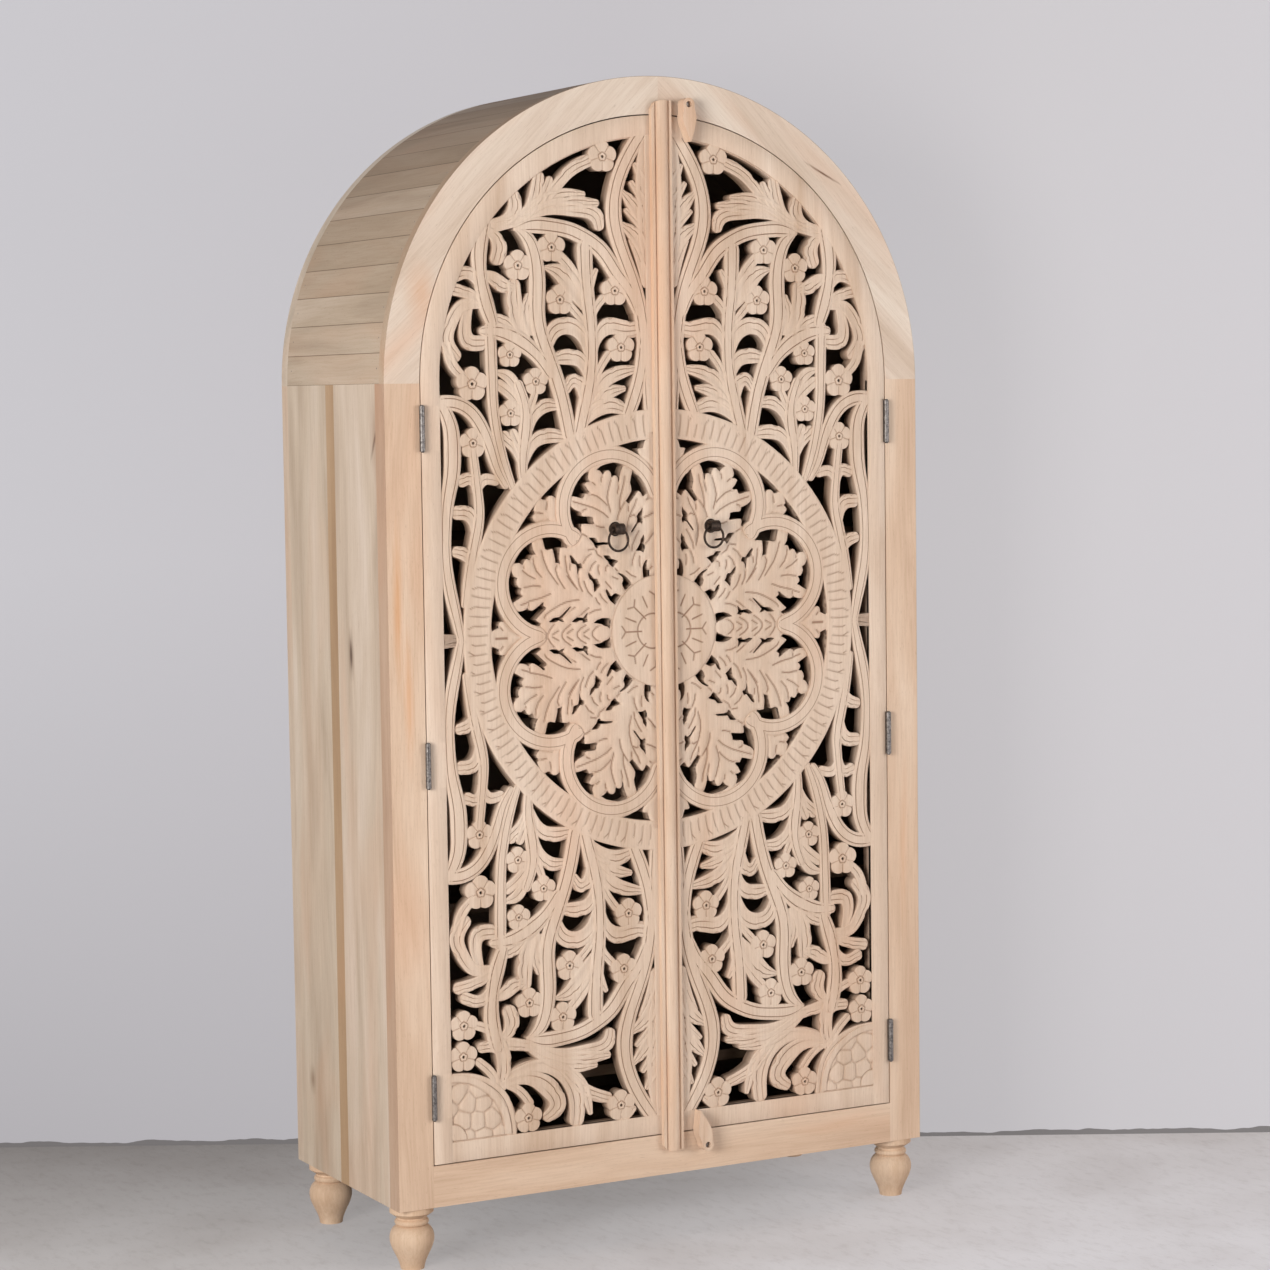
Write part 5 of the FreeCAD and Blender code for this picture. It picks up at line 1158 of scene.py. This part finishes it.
def carveDoor(name, side, proud):
    # All pieces of one door's front, and the panel behind them
    panel = groundPanel(name + "_ground", name + "_panel", name, proud)
    upper = [carvedStem(points) for points in strokeArrays(stemPoints)]
    upper += [carvedLobe(points) for points in strokeArrays(lobePoints + archLobePoints)]
    upper += [carvedFlower(*place) for place in flowerPlaces + upperFlowerPlaces]
    lower = [carvedStem(points) for points in strokeArrays(stemPoints, True)]
    lower += [carvedLobe(points) for points in strokeArrays(lobePoints, True) + strokeArrays(cornerLobePoints)]
    lower += [carvedFlower(across, 2 * cabinet["middleShares"] - height, radius)
              for across, height, radius in flowerPlaces]
    lower += [carvedFlower(*place) for place in lowerFlowerPlaces]
    lower.append(carvedCorner())
    ring = [carvedRing(), carvedRosette()]
    ring += [carvedStem(points, plainStrap) for points in loopStrokes()]
    ring.append(leafGround)
    ring.append(padDisc(**pullPad))
    middle = (cabinet["meetingEdge"] + frameCut["meeting"]) / 2
    width = frameCut["meeting"] - cabinet["meetingEdge"]
    low, clear = cabinet["doorBottom"], frameCut["ringClear"]
    sill = low + frameCut["border"] / 2
    border = [borderSolid(),
              flatBar((cabinet["meetingEdge"] + 0.2, sill), (cabinet["doorHalf"] - frameCut["border"] + 1, sill),
                      frameCut["border"], 0.02),
              flatBar((middle, low + 1), (middle, cabinet["doorMiddle"] - clear), width, 0.04),
              flatBar((middle, cabinet["doorMiddle"] + clear), (middle, frameCut["stripTop"]), width, 0.04)]
    pieces = [panel]
    for label, parts in (("upper_growth", upper), ("lower_growth", lower), ("ring_carving", ring),
                         ("frame", border)):
        pieces.append(makePiece(name + "_" + label, parts, name, materials["carved"], side, proud))
    for piece in pieces:
        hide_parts(name + "_panel")


stripCut = {
    "left": ((0.0, 8.2), (0.6, 9.0), (5.4, 9.0), (6.0, 8.6), (7.0, 6.6), (8.6, 6.4)),
    "right": ((30.4, 6.4), (32.2, 6.6), (33.2, 8.6), (33.8, 9.0), (37.4, 9.0), (38.0, 8.2)),
    "round": (9.2, 29.8), "foot": 8.0, "height": 15.0, "width": 38.0, "lowRound": 12.0, "topRound": 18.0,
}


def mouldedStrip(cut=stripCut):
    # The strip over the meeting of the doors, swept upwards: a flat bead, a groove, a half round whose height
    # follows the circle through its width, a groove and a bead; its left corners are rounded at both ends
    low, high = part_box("astragal")
    start, end = cut["round"]
    across = np.linspace(start, end, 27)
    share = (2 * across - start - end) / (end - start)
    swell = cut["foot"] + (cut["height"] - cut["foot"]) * np.sqrt(np.clip(1 - share ** 2, 0, 1)) ** 1.1
    outline = np.concatenate([np.array(cut["left"]), np.column_stack([across, swell]), np.array(cut["right"])])
    wide = (high[0] - low[0]) * 1000
    out = np.minimum(outline[:, 1], (high[1] - low[1]) * 1000 - 0.02)
    x = low[0] * 1000 + outline[:, 0] * wide / cut["width"]
    ends = []
    for corner in (cut["lowRound"], cut["topRound"]):
        near = np.clip(corner - outline[:, 0], 0, corner)
        ends.append(corner - np.sqrt(corner ** 2 - near ** 2))
    bottom, top = low[2] * 1000 + ends[0], high[2] * 1000 - ends[1]
    rows = np.linspace(0, 1, 60)[:, None]
    heights = bottom[None, :] * (1 - rows) + top[None, :] * rows
    base = high[1] * 1000 - cabinet["frontY"] * 1000
    depth = np.tile(base - out, (60, 1))
    return patchSolid(np.stack([np.tile(x, (60, 1)), heights, depth], axis=-1), np.zeros_like(depth), base)


strip = makePiece("astragal_moulded", [mouldedStrip()], "door_right", materials["trim"], sharp=28.0)
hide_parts("astragal")

plainStrap = dict(stemCut, grooveDepth=0.0, crown=0.1, level=0.0, edgeDrop=1.0, perSpan=2)
leafGround = carvedLeaves()
carveDoor("door_right", 1, cabinet["rightDoorProud"])
carveDoor("door_left", -1, 0.0)
print("doors carved")


# Floor, wall and light

stageSizes = {"wallDistance": 5.985, "wallHalf": 8.0, "wallHeight": 6.0, "floorHalf": 9.0, "wallShown": 0.8,
              "floorShown": 0.6, "darkFootLineHeight": 0.011, "wallAside": (-1.6, 1.6), "floorAside": (-0.7, 0.75),
              "floorNear": (-0.75, 0.62)}
stageLevel = Vector((lookAlong.x, lookAlong.y, 0)).normalized()
stageAside = Vector((stageLevel.y, -stageLevel.x, 0))


def stagePlane(name, corners, material):
    # One flat four-cornered piece of the stage
    mesh = bpy.data.meshes.new(name)
    mesh.from_pydata([tuple(corner) for corner in corners], [], [(0, 1, 2, 3)])
    mesh.materials.append(material)
    made = bpy.data.objects.new(name, mesh)
    bpy.context.scene.collection.objects.link(made)


def stageMaterial(name, shown, paint, oneSided):
    # Matt paint or worn screed. The camera and the gloss see part of it as its own pale tone, so that the
    # background stays even; the rest is lit, and holds the shadow. A wall is seen from its front only.
    made, tree = newMaterial(name)
    colour = paint(tree, addNode(tree, "TexCoord", output="Object"))
    shader = addNode(tree, "BsdfPrincipled", None, {"Roughness": 0.85, "Specular IOR Level": 0.2,
                                                    "Base Color": colour})
    glow = addNode(tree, "Emission", None, colour)
    ray = addNode(tree, "LightPath", output=None).outputs
    seen = addNode(tree, "Math", "MAXIMUM", ray["Is Camera Ray"], ray["Is Glossy Ray"])
    surface = addNode(tree, "MixShader", None, addNode(tree, "Math", "MULTIPLY", seen, shown), shader, glow)
    if oneSided:
        back = addNode(tree, "NewGeometry", output="Backfacing")
        surface = addNode(tree, "MixShader", None, back, surface, addNode(tree, "BsdfTransparent"))
    addNode(tree, "OutputMaterial", None, surface)
    return made


def alongLine(tree, coordinates, way, start, end):
    # 0 to 1 along a level direction between two distances from the origin
    run = addNode(tree, "VectorMath", "DOT_PRODUCT", coordinates, tuple(way))
    return addNode(tree, "MapRange", None, run, start, end)


def wallPaint(tree, coordinates):
    # Plain cool white, with painted shade: a little lighter to the right and greyer low on the left; a dark line runs
    # along its foot at the floor
    right = alongLine(tree, coordinates, stageAside, *stageSizes["wallAside"])
    stops = ((0.0, "#CCCBD0"), (0.5, "#C9C6CA"), (0.75, "#D1CED1"), (1.0, "#D3D0D4"))
    colour = addNode(tree, "ValToRGB", {"stops": stops}, right)
    height = addNode(tree, "SeparateXYZ", None, coordinates, output="Z")
    low = addNode(tree, "Math", {"operation": "MULTIPLY_ADD", "use_clamp": True}, height, -0.9, 1.0)
    left = addNode(tree, "Math", {"operation": "SUBTRACT", "use_clamp": True}, 1.0, right)
    share = addNode(tree, "Math", "MULTIPLY", addNode(tree, "Math", "MULTIPLY", low, left), 0.75)
    colour = addNode(tree, "Mix", mixed, share, colour, "#ABA8AC")
    ragged = stretchedNoise(tree, coordinates, (9.0, 9.0, 9.0), 3.0, 0.6)
    edge = addNode(tree, "Math", "MULTIPLY_ADD", ragged, 0.02, stageSizes["darkFootLineHeight"] - 0.012)
    darkFootLine = addNode(tree, "Math", "LESS_THAN", height, edge)
    return addNode(tree, "Mix", mixed, addNode(tree, "Math", "MULTIPLY", darkFootLine, 0.75), colour, "#57524E")


# Wear of the floor, each as share, scales, detail, roughness, shift and tones: wide clouds, trowel marks 8 mm
# wide, and a few chips 5 mm across
floorWear = (
    (0.35, (4.0, 4.0, 4.0), 3.0, 0.5, (0.0, 0.0, 0.0), ((0.35, "#E3DFDC"), (0.6, "#FFFFFF"))),
    (0.35, (55.0, 22.0, 22.0), 5.0, 0.75, (0.0, 0.0, 0.0), ((0.3, "#D9D5D2"), (0.5, "#FFFFFF"))),
    (0.7, (90.0, 70.0, 70.0), 4.0, 0.8, (5.0, 1.0, 0.0), ((0.27, "#A8A3A0"), (0.31, "#FFFFFF"))),
)


def floorPaint(tree, coordinates):
    # Worn grey screed, with painted shade: darker towards the wall and to the left
    near = alongLine(tree, coordinates, -stageLevel, *stageSizes["floorNear"])
    right = alongLine(tree, coordinates, stageAside, *stageSizes["floorAside"])
    stops = ((0.0, "#7F7A77"), (0.45, "#928C88"), (0.75, "#C2BCBA"), (1.0, "#CAC4C3"))
    far = addNode(tree, "ValToRGB", {"stops": stops}, right)
    close = addNode(tree, "ValToRGB", {"stops": ((0.0, "#D3CFCE"), (1.0, "#E6E3E6"))}, right)
    colour = addNode(tree, "Mix", mixed, near, far, close)
    for share, scales, detail, roughness, shift, stops in floorWear:
        wear = stretchedNoise(tree, coordinates, scales, detail, roughness, 0.0, shift)
        tone = addNode(tree, "ValToRGB", {"stops": stops}, wear)
        colour = addNode(tree, "Mix", multiplied, share, colour, tone)
    return colour


def buildStage(sizes=stageSizes):
    # A level floor about the origin, and a wall square to the view behind the cabinet
    eye = Vector(photoView["place"])
    foot = Vector((eye.x, eye.y, 0)) + stageLevel * sizes["wallDistance"]
    aside, rise, half = stageAside * sizes["wallHalf"], Vector((0, 0, sizes["wallHeight"])), sizes["floorHalf"]
    stagePlane("stage_floor", [(-half, -half, 0), (half, -half, 0), (half, half, 0), (-half, half, 0)],
               stageMaterial("worn_screed", sizes["floorShown"], floorPaint, False))
    stagePlane("stage_wall", [foot - aside, foot + aside, foot + aside + rise, foot - aside + rise],
               stageMaterial("painted_plaster", sizes["wallShown"], wallPaint, True))


def softBox(name, place, target, size, power, tone):
    # A square light whose face is turned from its place towards the target
    data = bpy.data.lights.new(name, "AREA")
    data.shape = "RECTANGLE"
    data.size = data.size_y = size
    data.energy = power
    data.color = linearColour(tone)[:3]
    lamp = bpy.data.objects.new(name, data)
    lamp.location = place
    lamp.rotation_euler = (Vector(target) - Vector(place)).to_track_quat("-Z", "Y").to_euler()
    bpy.context.scene.collection.objects.link(lamp)


softBoxes = {
    "key_softbox": {"place": (-4.6, -3.0, 1.7), "target": (0.0, 0.0, 0.95), "size": 2.0, "power": 232.0,
                    "tone": "#FFFCF9"},
    "fill_softbox": {"place": (2.9, -3.8, 1.5), "target": (0.0, 0.0, 1.0), "size": 2.4, "power": 90.0,
                     "tone": "#FFFDFB"},
}
skyLight = {"tone": "#E6E8EE", "strength": 0.18, "seenExtra": 0.5}
buildStage()
for boxName, boxFacts in softBoxes.items():
    softBox(boxName, **boxFacts)
world = bpy.data.worlds.new("studio")
bpy.context.scene.world = world
world.use_nodes = True
worldTree = world.node_tree
backdrop = worldTree.nodes["Background"].inputs
backdrop["Color"].default_value = linearColour(skyLight["tone"])
# The world lights softly, and is seen and mirrored as a pale backdrop
worldRay = addNode(worldTree, "LightPath", output=None).outputs
seenAs = addNode(worldTree, "Math", "MAXIMUM", worldRay["Is Camera Ray"], worldRay["Is Glossy Ray"])
seenAs = addNode(worldTree, "Math", "MAXIMUM", seenAs, worldRay["Is Transmission Ray"])
skyStrength = addNode(worldTree, "Math", "MULTIPLY_ADD", seenAs, skyLight["seenExtra"], skyLight["strength"])
worldTree.links.new(skyStrength, backdrop["Strength"])
bpy.context.scene.view_settings.view_transform = "Standard"
print("stage and light ready")
